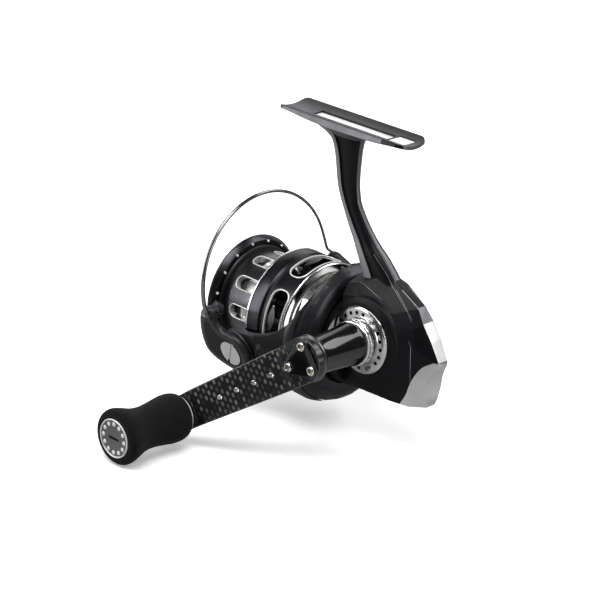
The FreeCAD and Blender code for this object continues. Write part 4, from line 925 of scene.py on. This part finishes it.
def spool_skirt():
    """The skirt: a plain front band, a step whose groove has painted shade, and a rear band with five long
    round-ended windows.
    """
    inner = SKIRT_R - SKIRT_WALL
    rear = SPOOL_REAR
    profile = [(rear, inner), (rear, SKIRT_R - 1.0), (rear + 0.5, SKIRT_R - 0.6), (rear + 9.9, SKIRT_R - 0.3),
               (rear + 10.4, SKIRT_R - 1.1), (rear + 11.6, SKIRT_R - 1.1), (rear + 12.1, SKIRT_R - 0.2),
               (SKIRT_FRONT - 1.0, SKIRT_R), (SKIRT_FRONT - 1.0, inner)]

    def kind(along, radius):
        if radius > SKIRT_R - 0.85 and rear + 0.1 < along < rear + 0.75:
            return 1
        # the groove at the step gets near-black painted shade
        return 2 if rear + 10.2 < along < rear + 11.8 and radius > SKIRT_R - 1.4 else 0

    looks = ("spool_metal", "bright_edge", "painted_recess_shade")
    made = lathe("spool_skirt_shell", "spool", SHAFT, profile, looks, steps=240, marks=kind,
                 round_by=0.12)
    turns = [GATE_TURN + 360 * k / GATE_COUNT for k in range(GATE_COUNT)]
    windows = [stadium((GATE_X, turn), 3.95, 28.0, SKIRT_R, GATE_CORNER) for turn in turns]
    made = cut(made, [polar_prism("window", SHAFT, window, inner - 2, SKIRT_R + 2) for window in windows])
    cut_rims("skirt_window_rims", windows, SKIRT_R - 0.5, 0.3)
    paint(made, SHAFT, "cut_edge", lambda spot, normal: rear + 0.8 < spot.x < rear + 9.6
          and abs(normal.dot(outwards(spot))) < 0.5 and from_axis(spot) > inner - 0.2)
    soften(made)
    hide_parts("spool_skirt")


def cut_rims(name, shapes, radius, thick):
    """The polished bevels round the openings of a drum: one fine bead for each opening's outline."""
    points = []
    faces = []
    beads = 8
    turns = [2 * math.pi * j / beads for j in range(beads)]
    for shape in shapes:
        line = []
        for spot, ahead in zip(shape, shape[1:] + shape[:1]):
            parts = max(1, round(abs(ahead.y - spot.y) / 4.0))
            for share in (j / parts for j in range(parts)):
                turn, along = (spot[k] + (ahead[k] - spot[k]) * share for k in (1, 0))
                line.append(around(radius, turn, along))
        first = len(points)
        count = len(line)
        for k, spot in enumerate(line):
            way = (line[(k + 1) % count] - line[k - 1]).normalized()
            out = outwards(spot)
            side = way.cross(out)
            points += [spot + (out * math.cos(t) + side * math.sin(t)) * thick for t in turns]
            here, there = first + k * beads, first + (k + 1) % count * beads
            faces += [(here + j, here + (j + 1) % beads, there + (j + 1) % beads, there + j)
                      for j in range(beads)]
    piece(name, "spool", SHAFT, points, faces, ("cut_edge",))


def spool_core():
    """The arbor with its ten slots, the flange in front of the skirt and the undercut behind the lip, with
    painted shade in the undercut and on the floors of the slots under the lip.
    """
    front, arbor, lip, wall = SKIRT_FRONT, ARBOR_R, LIP_X, ARBOR_R - 1.6
    profile = [(front - 1.0, SKIRT_R), (front - 0.3, SKIRT_R), (front, SKIRT_R - 0.3),
               (front + 1.2, arbor + 0.4), (front + 1.8, arbor), (lip - 5.6, arbor), (lip - 5.4, arbor - 0.8),
               (lip - 3.4, arbor - 0.8), (lip - 3.0, arbor + 1.0), (lip - 2.2, arbor + 1.4), (lip - 2.2, 14.2),
               (lip - 8.6, 14.2), (lip - 8.6, 1.56), (lip - 10.6, 1.56), (lip - 10.6, 3.0), (lip - 17.0, 3.0),
               (lip - 17.0, 5.4), (lip - 10.6, 5.8), (lip - 10.6, wall), (front + 0.6, wall),
               (front - 1.0, SKIRT_R - 1.9)]

    def kind(along, radius):
        if radius > SKIRT_R - 0.5:
            return 1
        # the undercut behind the lip gets near-black painted shade
        return 2 if along > lip - 5.65 and radius > arbor - 1.0 else 0

    looks = ("arbor_metal", "bright_edge", "painted_recess_shade")
    made = lathe("spool_core", "spool", SHAFT, profile, looks, steps=240, marks=kind,
                 round_by=0.1)
    turns = [360 * k / SLOT_COUNT for k in range(SLOT_COUNT)]
    slots = [stadium((SLOT_X, turn), 5.6, 8.4, arbor, SLOT_CORNER, steps=5) for turn in turns]
    made = cut(made, [polar_prism("slot", SHAFT, slot, 15.2, arbor + 2) for slot in slots])
    cut_rims("arbor_slot_rims", slots, arbor - 0.08, 0.22)
    paint(made, SHAFT, "cut_edge", lambda spot, normal: 28.6 < spot.x < 40.2
          and abs(normal.dot(outwards(spot))) < 0.5 and from_axis(spot) > 16.3)
    # painted shade on the floors of the slots under the lip
    paint(made, SHAFT, "painted_recess_shade", lambda spot, normal: 36.5 < spot.x < 40.1
          and 15.0 < from_axis(spot) < 15.6)
    soften(made)
    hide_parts("spool")
    sleeve = [(27.6, 15.7), (27.6, 16.05), (35.9, 16.05), (35.9, 15.7)]
    lathe("arbor_sleeve", "spool", SHAFT, sleeve, ("drum_metal",), round_by=0.08)


def spool_lip():
    """The dark lip ring with sixteen through holes."""
    radius = (reach("spool_lip", Y) - reach("spool_lip", Y, low=True)) / 2
    profile = [(LIP_X - 2.2, 14.4), (LIP_X - 2.2, radius - 1.5), (LIP_X - 0.1, radius), (LIP_X + 0.5, radius),
               (LIP_X + 1.5, radius - 1.2), (LIP_X + 1.5, 16.5), (LIP_X + 0.4, 14.4)]
    made = lathe("spool_lip_ring", "spool", SHAFT, profile, ("spool_lip_metal",), steps=240,
                 round_by=0.35)
    spots = [around(20.5, 82.5 + 360 * k / LIP_HOLE_COUNT) for k in range(LIP_HOLE_COUNT)]
    outlines = [circle((spot.y, spot.z), LIP_HOLE_R, 20) for spot in spots]
    made = cut(made, [prism("hole", SHAFT, X, outline, LIP_X - 4, LIP_X + 4) for outline in outlines])
    soften(made)
    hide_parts("spool_lip")


# ---------------------------------------------------------------- rotor
SHELL_OUT = [(-6.4, 21.5), (-5.6, 23.2), (-3.4, 25.2), (-0.4, 26.4), (40.0, 26.4)]
ARM_TOP = [(-6.0, 26.3), (-3.6, 26.2), (-2.2, 24.4), (-0.6, 20.6), (2.4, 16.0), (7.0, 12.2), (14.0, 8.9),
           (21.0, 6.9), (26.0, 6.4), (30.6, 5.0), (34.0, 2.2), (35.8, -0.4), (36.4, -1.8)]
ARM_LOW = [(-6.0, -26.3), (-3.6, -26.2), (-2.2, -24.4), (-0.6, -21.0), (2.4, -17.2), (7.0, -14.2),
           (14.0, -11.8), (21.0, -10.5), (26.0, -10.0), (30.6, -8.6), (34.0, -5.8), (35.8, -3.2),
           (36.4, -1.8)]
ARM_R = 26.6
PIVOT_HOLE = 3.02
PIVOT_SEAT = 5.25


def polar_box(x, low_turn, high_turn, inner, outer):
    """A ring of points round a rounded slice of a drum's wall, given by two angles and two radii."""
    spans = 8
    middle_r = (inner + outer) / 2
    half_turn = (high_turn - low_turn) / 2 * middle_r
    half_thick = (outer - inner) / 2
    soft = min(0.9, half_turn * 0.6, half_thick * 0.95)
    arcs = corner_arcs((half_turn, half_thick), (soft, soft), 4)
    ring = []
    for arc, following in zip(arcs, arcs[1:] + arcs[:1]):
        (a, r), (next_a, next_r) = arc[-1], following[0]
        ring += arc
        ring += [(a + (next_a - a) * k / spans, r + (next_r - r) * k / spans) for k in range(1, spans)]
    turn = (low_turn + high_turn) / 2
    return [around(middle_r + r, math.degrees(turn + a / middle_r), x) for a, r in ring]


def pivot_drum(name, radius, low, high, way):
    """A round block along the bail's pivot line, on the side of one arm."""
    round_line = circle((PIVOT.x, PIVOT.z), radius, 72)
    return prism(name, ROTOR, Y, round_line, *sorted((low * way, high * way)), "rotor_paint")


def arm_ring(x, share, thinnest, inner, outer, way):
    """An arm's outline at a place along it, with a share of its width, on one side of the rotor."""
    low, high = (math.asin(between(line, x) * share / ARM_R) for line in (ARM_LOW, ARM_TOP))
    ring = polar_box(x, low, max(high, low + thinnest), inner, outer)
    return [(spot.x, spot.y * way, spot.z) for spot in ring]


def rotor():
    """The rotor's rear rim and its two arms, which sweep from the rim to the bail's pivots."""
    rim = [(-6.4, 17.8), (-6.4, 21.3), (-5.6, 23.1), (-3.4, 25.1), (-2.4, 25.8), (-2.2, 23.8), (-4.5, 22.6),
           (-4.5, 17.8)]
    made = lathe("rotor_shell", "rotor", ROTOR, rim, ("rotor_paint",), steps=180, round_by=0.5)
    places = [-4.4 + 40.6 * math.sin(math.pi / 2 * k / 60) for k in range(61)]
    for way in (1, -1):
        rings = []
        for x in places:
            outer = between(SHELL_OUT, x)
            rings.append(arm_ring(x, 1.0, 0.03, outer - 2.5, outer, way))
        made = combine(made, [loft("arm", None, ROTOR, rings, ("rotor_paint",))], "UNION")
        made = combine(made, [pivot_drum("seat", 7.4, 23.6, 26.75, way)], "UNION")
        made = cut(made, [pivot_drum("hole", PIVOT_HOLE, 20.0, 32.0, way)])
    made = cut(made, [drum("skirt_way", SHAFT, -4.4, 45.0, SKIRT_R + 0.35)])
    # painted highlight: the arms' top edges made lighter, as if catching light
    paint(made, ROTOR, "arm_edge_highlight", lambda spot, normal: spot.x > -3.0 and from_axis(spot) > 23.8
          and abs(normal.dot(outwards(spot))) < 0.72)
    soften(made, 38.0)
    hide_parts("rotor_frame")


def arm_cover(way, name):
    """The dark panel on the outside of a rotor arm, with its soft-cornered hollow."""
    rings = []
    for k in range(41):
        left = min(k, 40 - k)
        edge = math.sin(math.pi * left / 12) if left < 6 else 1.0
        rings.append(arm_ring(-1.2 + 19.6 * k / 40, 0.93, 0.0, 26.42, 26.7 + 0.9 * edge, way))
    made = loft(name, "rotor", ROTOR, rings, ("lever_paint", "black_side_and_painted_shade"))
    window = rounded([(3.0, -8.4), (11.4, -7.4), (16.2, -6.0), (17.0, -1.8), (16.2, 2.8), (11.4, 5.2),
                      (3.0, 7.8)], 2.0)
    made = cut(made, [prism("window", ROTOR, Y, window, 27.0 * way, 30.0 * way)])
    paint(made, ROTOR, "black_side_and_painted_shade", lambda spot, normal: abs(spot.y) < 27.15 and 2.4 < spot.x < 17.5)
    soften(made)
    return made


# ---------------------------------------------------------------- bail
LEVER = [(6.0, 16.4), (9.4, 16.6), (12.0, 14.6), (13.8, 10.6), (14.9, 5.6), (15.0, 0.6), (13.6, -3.8),
         (9.6, -6.4), (4.6, -7.7), (0.0, -8.2), (-5.2, -6.3), (-8.1, -1.8), (-7.4, 3.4), (-4.2, 7.0),
         (0.2, 8.1), (3.8, 8.6), (5.6, 10.8), (5.4, 14.0)]
HOLDER = [(-2.4, 7.3), (-0.2, 8.4), (2.8, 8.2), (4.6, 6.6), (6.9, 4.1), (7.8, 0.0), (5.6, -5.6),
          (0.0, -7.9), (-5.6, -5.6), (-7.9, 0.0), (-6.3, 4.7)]
WIRE_R = 0.83
WIRE_TAPER = 0.3
HOOP_TILT = math.radians(86.0)
HOOP_R = 30.2
HOOP_MIDDLE = (5.0, 20.0)


def bail_plate(name, outline, way, node):
    """A crowned plate on a rotor arm's outside with a round hollow for its pivot screw, with painted shade in
    the hollow.
    """
    turn = Matrix(((1, 0, 0, 0), (0, 0, way, 0), (0, 1, 0, 0), (0, 0, 0, 1)))
    face_space = ROTOR @ Matrix.Translation((PIVOT.x, 0, PIVOT.z)) @ turn
    made = plate(name, "bail", face_space, spline(outline, 6, closed=True), 27.12, 29.85, 1.1,
                 ("lever_paint",), crown=0.5)
    seat = pivot_drum("seat", PIVOT_SEAT, 28.1, 40.0, way)
    made = cut(made, [pivot_drum("hole", PIVOT_HOLE, 20.0, 40.0, way), seat])
    # painted shade in the hollow round the pivot screw
    paint(made, ROTOR, "black_side_and_painted_shade", lambda spot, normal: abs(spot.y) > 27.5
          and math.hypot(spot.x - PIVOT.x, spot.z - PIVOT.z) < PIVOT_SEAT + 0.05)
    soften(made)
    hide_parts(node)


def bail_wire():
    """The wire hoop, thicker at the line roller than at its far end."""
    def on_bail(across, out):
        """A place in the tilted plane of the hoop."""
        return PIVOT + Vector((out * math.cos(HOOP_TILT), across, out * math.sin(HOOP_TILT)))

    path = [(ROLLER.x, 28.0, ROLLER.z + 0.8), (ROLLER.x - 0.4, 29.2, ROLLER.z + 2.2),
            (ROLLER.x - 1.8, 32.6, ROLLER.z + 4.0)]
    path += [on_bail(across, out) for across, out in circle(HOOP_MIDDLE, HOOP_R, 40)[:21]]
    path += [on_bail(-25.2, 15.8), on_bail(-25.2, 12.6), on_bail(-26.6, 10.2), on_bail(-28.7, 7.8)]
    line = spline(path, 4)
    turns = [2 * math.pi * j / 16 for j in range(16)]
    rings = []
    count = len(line)
    side = FORWARD
    for k, spot in enumerate(line):
        ahead = (line[min(k + 1, count - 1)] - line[max(k - 1, 0)]).normalized()
        side = (side - ahead * side.dot(ahead)).normalized()
        other = ahead.cross(side)
        radius = 0.8 if k < 6 else WIRE_R - WIRE_TAPER * ramp(k / count, 0.1, 0.8)
        rings.append([spot + (side * math.cos(t) + other * math.sin(t)) * radius for t in turns])
    made = loft("bail_wire_loop", "bail", ROTOR, rings, ("wire_steel",))
    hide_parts("bail_wire")


# ---------------------------------------------------------------- handle
PLATE_OUTLINE = [(-5.9, -5.4), (-5.0, -6.8), (-3.2, -7.2), (-1.4, -6.7), (7.7, -2.4), (9.3, -1.0), (9.3, 1.0),
                 (7.7, 2.4), (-1.4, 6.7), (-3.2, 7.2), (-5.0, 6.8), (-5.9, 5.4)]
HUB_FACE = 38.5
LIGHT_HOLES = (15.6, 22.4, 29.0, 35.6)
PLATE_SCREWS = ((-3.2, 4.5), (-3.2, -4.5), (7.0, 0.0))
ARM_LEAN = 15.2
ARM_THICK = 2.5
ARM_ROOT = 8.1
ARM_TIP = 6.3


def arm_lift(at):
    """How far the arm has risen, at a distance along it: flat, a soft ramp, flat."""
    share = ramp(at, 9.0, ARM_LENGTH - 7.5)
    soft = 0.08
    if share < soft:
        bent = share * share / (2 * soft)
    elif share > 1 - soft:
        bent = 1 - soft - (1 - share) ** 2 / (2 * soft)
    else:
        bent = share - soft / 2
    return ARM_LEAN * bent / (1 - soft)


def bar_ring(x, half, low):
    """A rounded cross-section of the arm at a distance along it."""
    edge = min(0.5, half * 0.8)
    arcs = corner_arcs((half, ARM_THICK / 2), (edge, edge), 4)
    across = [(half - edge) * (1 - 2 * k / 6) for k in range(1, 6)]
    top = [(y, ARM_THICK / 2) for y in across]
    bottom = [(-y, -ARM_THICK / 2) for y in across]
    ring = arcs[0] + top + arcs[1] + arcs[2] + bottom + arcs[3]
    return [(x, y, low + ARM_THICK / 2 + z) for y, z in ring]


def half_width(x):
    """Half the arm's width at a distance along it: two round ends and a taper between them."""
    if x < 0:
        return math.sqrt(max(ARM_ROOT ** 2 - x * x, 0.01))
    if x > ARM_LENGTH:
        return math.sqrt(max(ARM_TIP ** 2 - (x - ARM_LENGTH) ** 2, 0.01))
    return ARM_ROOT + (ARM_TIP - ARM_ROOT) * x / ARM_LENGTH


def handle_arm():
    """The crank's arm: a bar that leans outwards, with round ends, bright edges and a woven face."""
    quarter = [math.pi / 2 * k / 14 for k in range(15)]
    places = [-ARM_ROOT * math.cos(turn) for turn in quarter[:-1]]
    places += [ARM_LENGTH * k / 60 for k in range(60)]
    places += [ARM_LENGTH + ARM_TIP * math.sin(turn) for turn in quarter]
    rings = [bar_ring(x, half_width(x), HUB_FACE + arm_lift(x)) for x in places]
    made = loft("handle_arm_bar", "crank", ARM, rings, ("carbon",))
    paint(made, ARM, "hub_metal", arm_rim)
    holes = [prism("knob_hole", ARM, Z, circle((ARM_LENGTH, 0), 2.3, 48), 40.0, 62.0)]
    holes += [prism("light_hole", ARM, Z, circle((at, 0), 0.92, 48), 30.0, 62.0) for at in LIGHT_HOLES]
    made = cut(made, holes)
    soften(made)
    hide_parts("handle_arm")


def arm_rim(spot, normal):
    """The thin machined bevel round the arm's outer face."""
    slope = arm_lift(spot.x) + ARM_THICK + HUB_FACE
    return 0.25 < normal.z < 0.9 and spot.z > slope - 0.62 and spot.x > -7.9


def arm_plate():
    """The glossy three-cornered plate over the arm's root."""
    outline = rounded(PLATE_OUTLINE, 0.9)
    low, high = HUB_FACE + ARM_THICK + 0.02, HUB_FACE + ARM_THICK + 1.0
    made = plate("arm_plate_cover", "crank", ARM, outline, low, high, 0.35, ("gloss_black",))
    made = cut(made, [prism("hole", ARM, Z, circle(place, 0.98, 32), 38.0, 46.0) for place in PLATE_SCREWS])
    soften(made)
    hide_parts("arm_plate")


def arm_screws():
    """Three socket screws with bright heads and warm, dark sockets."""
    profile = [(41.4, 0.01), (41.4, 0.93), (42.02, 0.93), (42.02, 1.74), (42.45, 1.74), (42.9, 1.4),
               (42.9, 0.95), (42.3, 0.8), (42.3, 0.01)]
    upright = Matrix(((0, 1, 0, 0), (0, 0, 1, 0), (1, 0, 0, 0), (0, 0, 0, 1)))
    looks = ("chrome_ring", "warm_socket")
    for index, (x, y) in enumerate(PLATE_SCREWS):
        place = ARM @ Matrix.Translation((x, y, 0)) @ upright
        lathe("arm_screw_%d" % (index + 1), "crank", place, profile, looks, steps=48,
                          marks=lambda along, radius: 1 if radius < 0.93 and along > 42.1 else 0,
                          round_by=0.12)
    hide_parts("arm_screws")


def crank_boss():
    """The glossy tapered sleeve between the collar and the arm."""
    profile = [(17.32, 3.05), (17.32, 7.6), (17.8, 7.9), (19.0, 7.8), (20.5, 7.55), (25.0, 7.05), (30.0, 6.7),
               (34.0, 6.7), (35.8, 6.9), (36.98, 7.3), (36.98, 3.05)]
    made = lathe("crank_boss_sleeve", "crank", CRANK, profile, ("gloss_black",), round_by=0.4)
    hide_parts("crank_boss")


def crank_collar():
    """The chrome collar with its groove."""
    profile = [(13.6, 3.05), (13.6, 7.5), (14.0, 8.1), (14.6, 8.38), (15.3, 8.38), (15.5, 8.2), (15.7, 8.38),
               (16.7, 8.38), (17.1, 8.1), (17.28, 7.4), (17.28, 3.05)]
    made = lathe("crank_collar_ring", "crank", CRANK, profile, ("chrome_ring",), round_by=0.12)
    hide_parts("crank_collar")


RING_HOLES_R = 10.1


def cover_ring():
    """The chrome ring round the crank with its three screw bores and fifteen blind holes, which get painted
    shade.
    """
    profile = [(11.32, 4.45), (11.32, 12.1), (11.9, 12.38), (12.5, 12.3), (12.9, 11.6), (13.18, 8.9),
               (13.18, 4.45)]
    made = lathe("cover_ring_face", "frame", CRANK, profile, ("chrome_ring",), round_by=0.1)
    step = 360 / 21
    holes = []
    for screw in (58, 178, 298):
        holes.append(crank_drum("bore", screw, 0.62, 11.0, 14.0))
        holes += [crank_drum("hole", screw + (1.5 + k) * step, 0.72, 12.2, 14.0) for k in range(5)]
    made = cut(made, holes)
    # painted shade in the small blind holes
    paint(made, CRANK, "painted_recess_shade", in_ring_hole)
    soften(made, 30.0)
    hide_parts("cover_ring")


def in_ring_hole(spot, normal):
    """True on the wall or the floor of one of the ring's small blind holes, where the painted shade goes."""
    wall = 12.1 < spot.x < 13.1 and abs(normal.x) < 0.4
    return 9.2 < from_axis(spot) < 11.0 and (wall or abs(spot.x - 12.2) < 0.05)


def crank_drum(name, degrees, radius, low, high):
    """A small round cutter on the ring's circle of holes, at an angle round the crank's axis."""
    middle = around(RING_HOLES_R, degrees)
    return prism(name, CRANK, X, circle((middle.y, middle.z), radius, 24), low, high)


KNOB_START = 56.62
PIN_COUNT = 12
GRIP = [(0.8, 7.4), (1.6, 8.2), (3.9, 8.8), (6.9, 8.8), (10.4, 8.3), (14.4, 7.8), (17.9, 7.7), (21.4, 8.2),
        (24.9, 9.3), (27.9, 10.15), (29.7, 9.95), (30.7, 9.0), (30.95, 7.55)]


def knob_grip():
    """The waisted foam grip."""
    line = [(KNOB_START + p.x, p.y) for p in spline(GRIP, 5)]
    line += [(KNOB_START + 28.45, 7.52), (KNOB_START + 28.45, 5.22), (KNOB_START + 0.8, 5.22)]
    made = lathe("knob_grip_foam", "knob", KNOB, line, ("foam",), round_by=0.0)
    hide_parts("knob_grip")


def knob_washer():
    """The bright washer between the grip and the arm."""
    profile = [(KNOB_START, 3.0), (KNOB_START, 6.7), (56.8, 7.2), (57.2, 7.28), (57.4, 6.9), (57.4, 3.0)]
    made = lathe("knob_washer_ring", "knob", KNOB, profile, ("cut_edge",), round_by=0.1)
    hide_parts("knob_washer")


def knob_end():
    """The gray cap with its slot in painted shade, the bright bezel round it and the ring of pins."""
    cap = [(85.32, 0.01), (85.32, 6.85), (86.75, 6.85), (86.75, 6.5), (87.45, 6.5), (87.6, 6.2), (87.6, 0.01)]
    made = lathe("knob_cap_disc", "knob", KNOB, cap, ("cap_gray",), round_by=0.08)
    slot = box_outline((-2.6, -0.45), (2.6, 0.45), 0.2)
    # the slot's walls and floor take the cutter's near-black look as painted shade
    made = cut(made, [prism("slot", KNOB, X, slot, 86.8, 89.0, "painted_recess_shade")])
    soften(made, 30.0)
    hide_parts("knob_cap")
    bezel = [(86.82, 6.6), (86.82, 7.0), (87.3, 7.2), (87.75, 7.1), (87.88, 6.85), (87.7, 6.6)]
    made = lathe("knob_bezel_ring", "knob", KNOB, bezel, ("cut_edge",), round_by=0.1)
    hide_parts("knob_bezel")
    pin = [(86.9, 0.01), (86.9, 0.78), (87.66, 0.78), (87.78, 0.6), (87.78, 0.01)]
    for k in range(PIN_COUNT):
        spot = KNOB @ Matrix.Translation(around(5.35, 360 * k / PIN_COUNT))
        lathe("knob_pin_%02d" % (k + 1), "knob", spot, pin, ("cut_edge",), steps=20, round_by=0.05)


# ---------------------------------------------------------------- looks of the CAD nodes
CAD_LOOKS = {
    "white_label": "foot_label",
    "chrome_ring": "cover_ring",
    "steel": (
        "ring_screws crank_bearings pinion_bearings pinion_bracket clutch_housing clutch_plate "
        "clutch_rollers drive_shaft oscillation_post arm_screws knob_shaft knob_bearings "
        "clutch_sleeve main_shaft slider guide_rod drag_plates drag_clip"),
    "black_paint": "crank_end_cap",
    "gloss_black": "case_screws knob_core knob_cap spool_seat",
    "brass": "drive_gear oscillation_pinion oscillation_gear pinion rotor_nut",
    "hub_metal": "arm_hub",
    "chrome_knob": "knob_bezel",
    "drum_metal": "rotor_drum rotor_hub",
    "coin_metal": "pivot_screws",
    "lever_paint": "roller_screw line_roller",
    "felt": "drag_washers",
    "spool_metal": "drag_knob",
    "bright_edge": "drag_knob_ring",
}


def dress_cad():
    """Give the CAD nodes their looks, through their material slots."""
    for look, nodes in CAD_LOOKS.items():
        for node in nodes.split():
            for holder in bpy.data.objects[node].material_slots:
                holder.material = LOOKS[look]


# ---------------------------------------------------------------- room
def lamp(name, place, target, energy, size, size_y):
    """A soft box that faces a target and that the camera doesn't see."""
    data = bpy.data.lights.new(name, "AREA")
    data.energy = energy
    data.shape = "RECTANGLE"
    data.size = size
    data.size_y = size_y
    made = bpy.data.objects.new(name, data)
    made.location = place
    made.rotation_euler = (Vector(target) - Vector(place)).to_track_quat("-Z", "Y").to_euler()
    made.visible_camera = False
    bpy.context.scene.collection.objects.link(made)


def floor_paper():
    """Pale paper that the camera sees as white and that lights the object less than it seems to."""
    look = Nodes("floor_paper")
    grain = look.noise(look.place, 400.0, 3.0)
    paper = look.blend(look.spread(grain, 0.0, 1.0), (1.3, 1.3, 1.3), (1.36, 1.36, 1.36))
    look.set(Roughness=0.9, Specular_IOR_Level=0.1, Emission_Color=(1, 1, 1, 1))
    seen = look.add("ShaderNodeLightPath").outputs["Is Camera Ray"]
    look.feed("Emission Strength", look.math("MULTIPLY", seen, 0.2))
    look.feed("Base Color", look.blend(seen, (0.42, 0.42, 0.43), paper))
    return look.material


def backdrop():
    """A world that is white to the camera and gives the object a faint cool light."""
    world = bpy.data.worlds.new("studio")
    bpy.context.scene.world = world
    world.use_nodes = True
    tree = world.node_tree
    tree.nodes.clear()
    path, seen, lit, mix, out = (tree.nodes.new("ShaderNode" + kind) for kind in (
        "LightPath", "Background", "Background", "MixShader", "OutputWorld"))
    seen.inputs["Color"].default_value = (1, 1, 1, 1)
    lit.inputs["Color"].default_value = (0.9, 0.93, 1.0, 1)
    lit.inputs["Strength"].default_value = 0.08
    tree.links.new(path.outputs["Is Camera Ray"], mix.inputs[0])
    tree.links.new(lit.outputs[0], mix.inputs[1])
    tree.links.new(seen.outputs[0], mix.inputs[2])
    tree.links.new(mix.outputs[0], out.inputs["Surface"])


def studio():
    """A pale floor, a white backdrop for the camera, and soft boxes above and beside the object."""
    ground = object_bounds()[0][2] - 0.0004
    size = 6.0
    mesh = bpy.data.meshes.new("floor")
    corners = [(x * size, y * size, ground) for x, y in ((-1, -1), (1, -1), (1, 1), (-1, 1))]
    mesh.from_pydata(corners, [], [(0, 1, 2, 3)])
    mesh.materials.append(floor_paper())
    floor = bpy.data.objects.new("floor", mesh)
    bpy.context.scene.collection.objects.link(floor)
    backdrop()
    middle = Vector((0.0, 0.02, -0.06))
    heart = (0.0, 0.03, -0.05)
    lamp("backdrop", middle + Vector((0.65, -0.66, 0.42)) * 1.3, middle, 4.5, 1.7, 0.8)
    lamp("back_high", middle + Vector((-0.33, -0.66, 0.67)), middle, 4.0, 0.6, 0.5)
    lamp("overhead", (-0.1, 0.35, 0.9), heart, 9.0, 0.9, 0.6)
    lamp("side_left", (0.6, 0.75, 0.25), heart, 5.0, 0.35, 0.9)
    lamp("side_right", (-0.95, -0.1, 0.2), heart, 4.0, 0.3, 0.9)
    floor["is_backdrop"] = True


def camera():
    """A long lens from behind and to the left, a little above, with a slight roll."""
    target = Vector((0.033278, -0.011969, -0.079571))
    azimuth, elevation, roll = (math.radians(degrees) for degrees in (224.35, 21.97, 2.6))
    distance = 0.90434
    level = math.cos(elevation)
    back = Vector((math.sin(azimuth) * level, -math.cos(azimuth) * level, math.sin(elevation)))
    right = UP.cross(back).normalized()
    up = back.cross(right)
    turned_right = right * math.cos(roll) + up * math.sin(roll)
    turned_up = up * math.cos(roll) - right * math.sin(roll)
    data = bpy.data.cameras.new("camera")
    data.lens = 145.8
    data.sensor_width = 36.0
    made = bpy.data.objects.new("camera", data)
    turn = Matrix((turned_right, turned_up, back)).transposed().to_4x4()
    made.matrix_world = Matrix.Translation(target + back * distance) @ turn
    bpy.context.scene.collection.objects.link(made)
    bpy.context.scene.camera = made


gear_case()
foot_insert()
spool_skirt()
spool_core()
spool_lip()
rotor()
lever_side_cover = arm_cover(1, "arm_cover_lever_side")
arm_cover(-1, "arm_cover_far_side")
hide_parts("arm_covers")
bail_plate("bail_lever_plate", LEVER, 1, "bail_lever")
bail_plate("bail_holder_plate", HOLDER, -1, "bail_holder")
bail_wire()
handle_arm()
arm_plate()
arm_screws()
crank_boss()
crank_collar()
cover_ring()
knob_grip()
knob_washer()
knob_end()
dress_cad()
camera()
studio()
bpy.context.scene.view_settings.view_transform = "Standard"
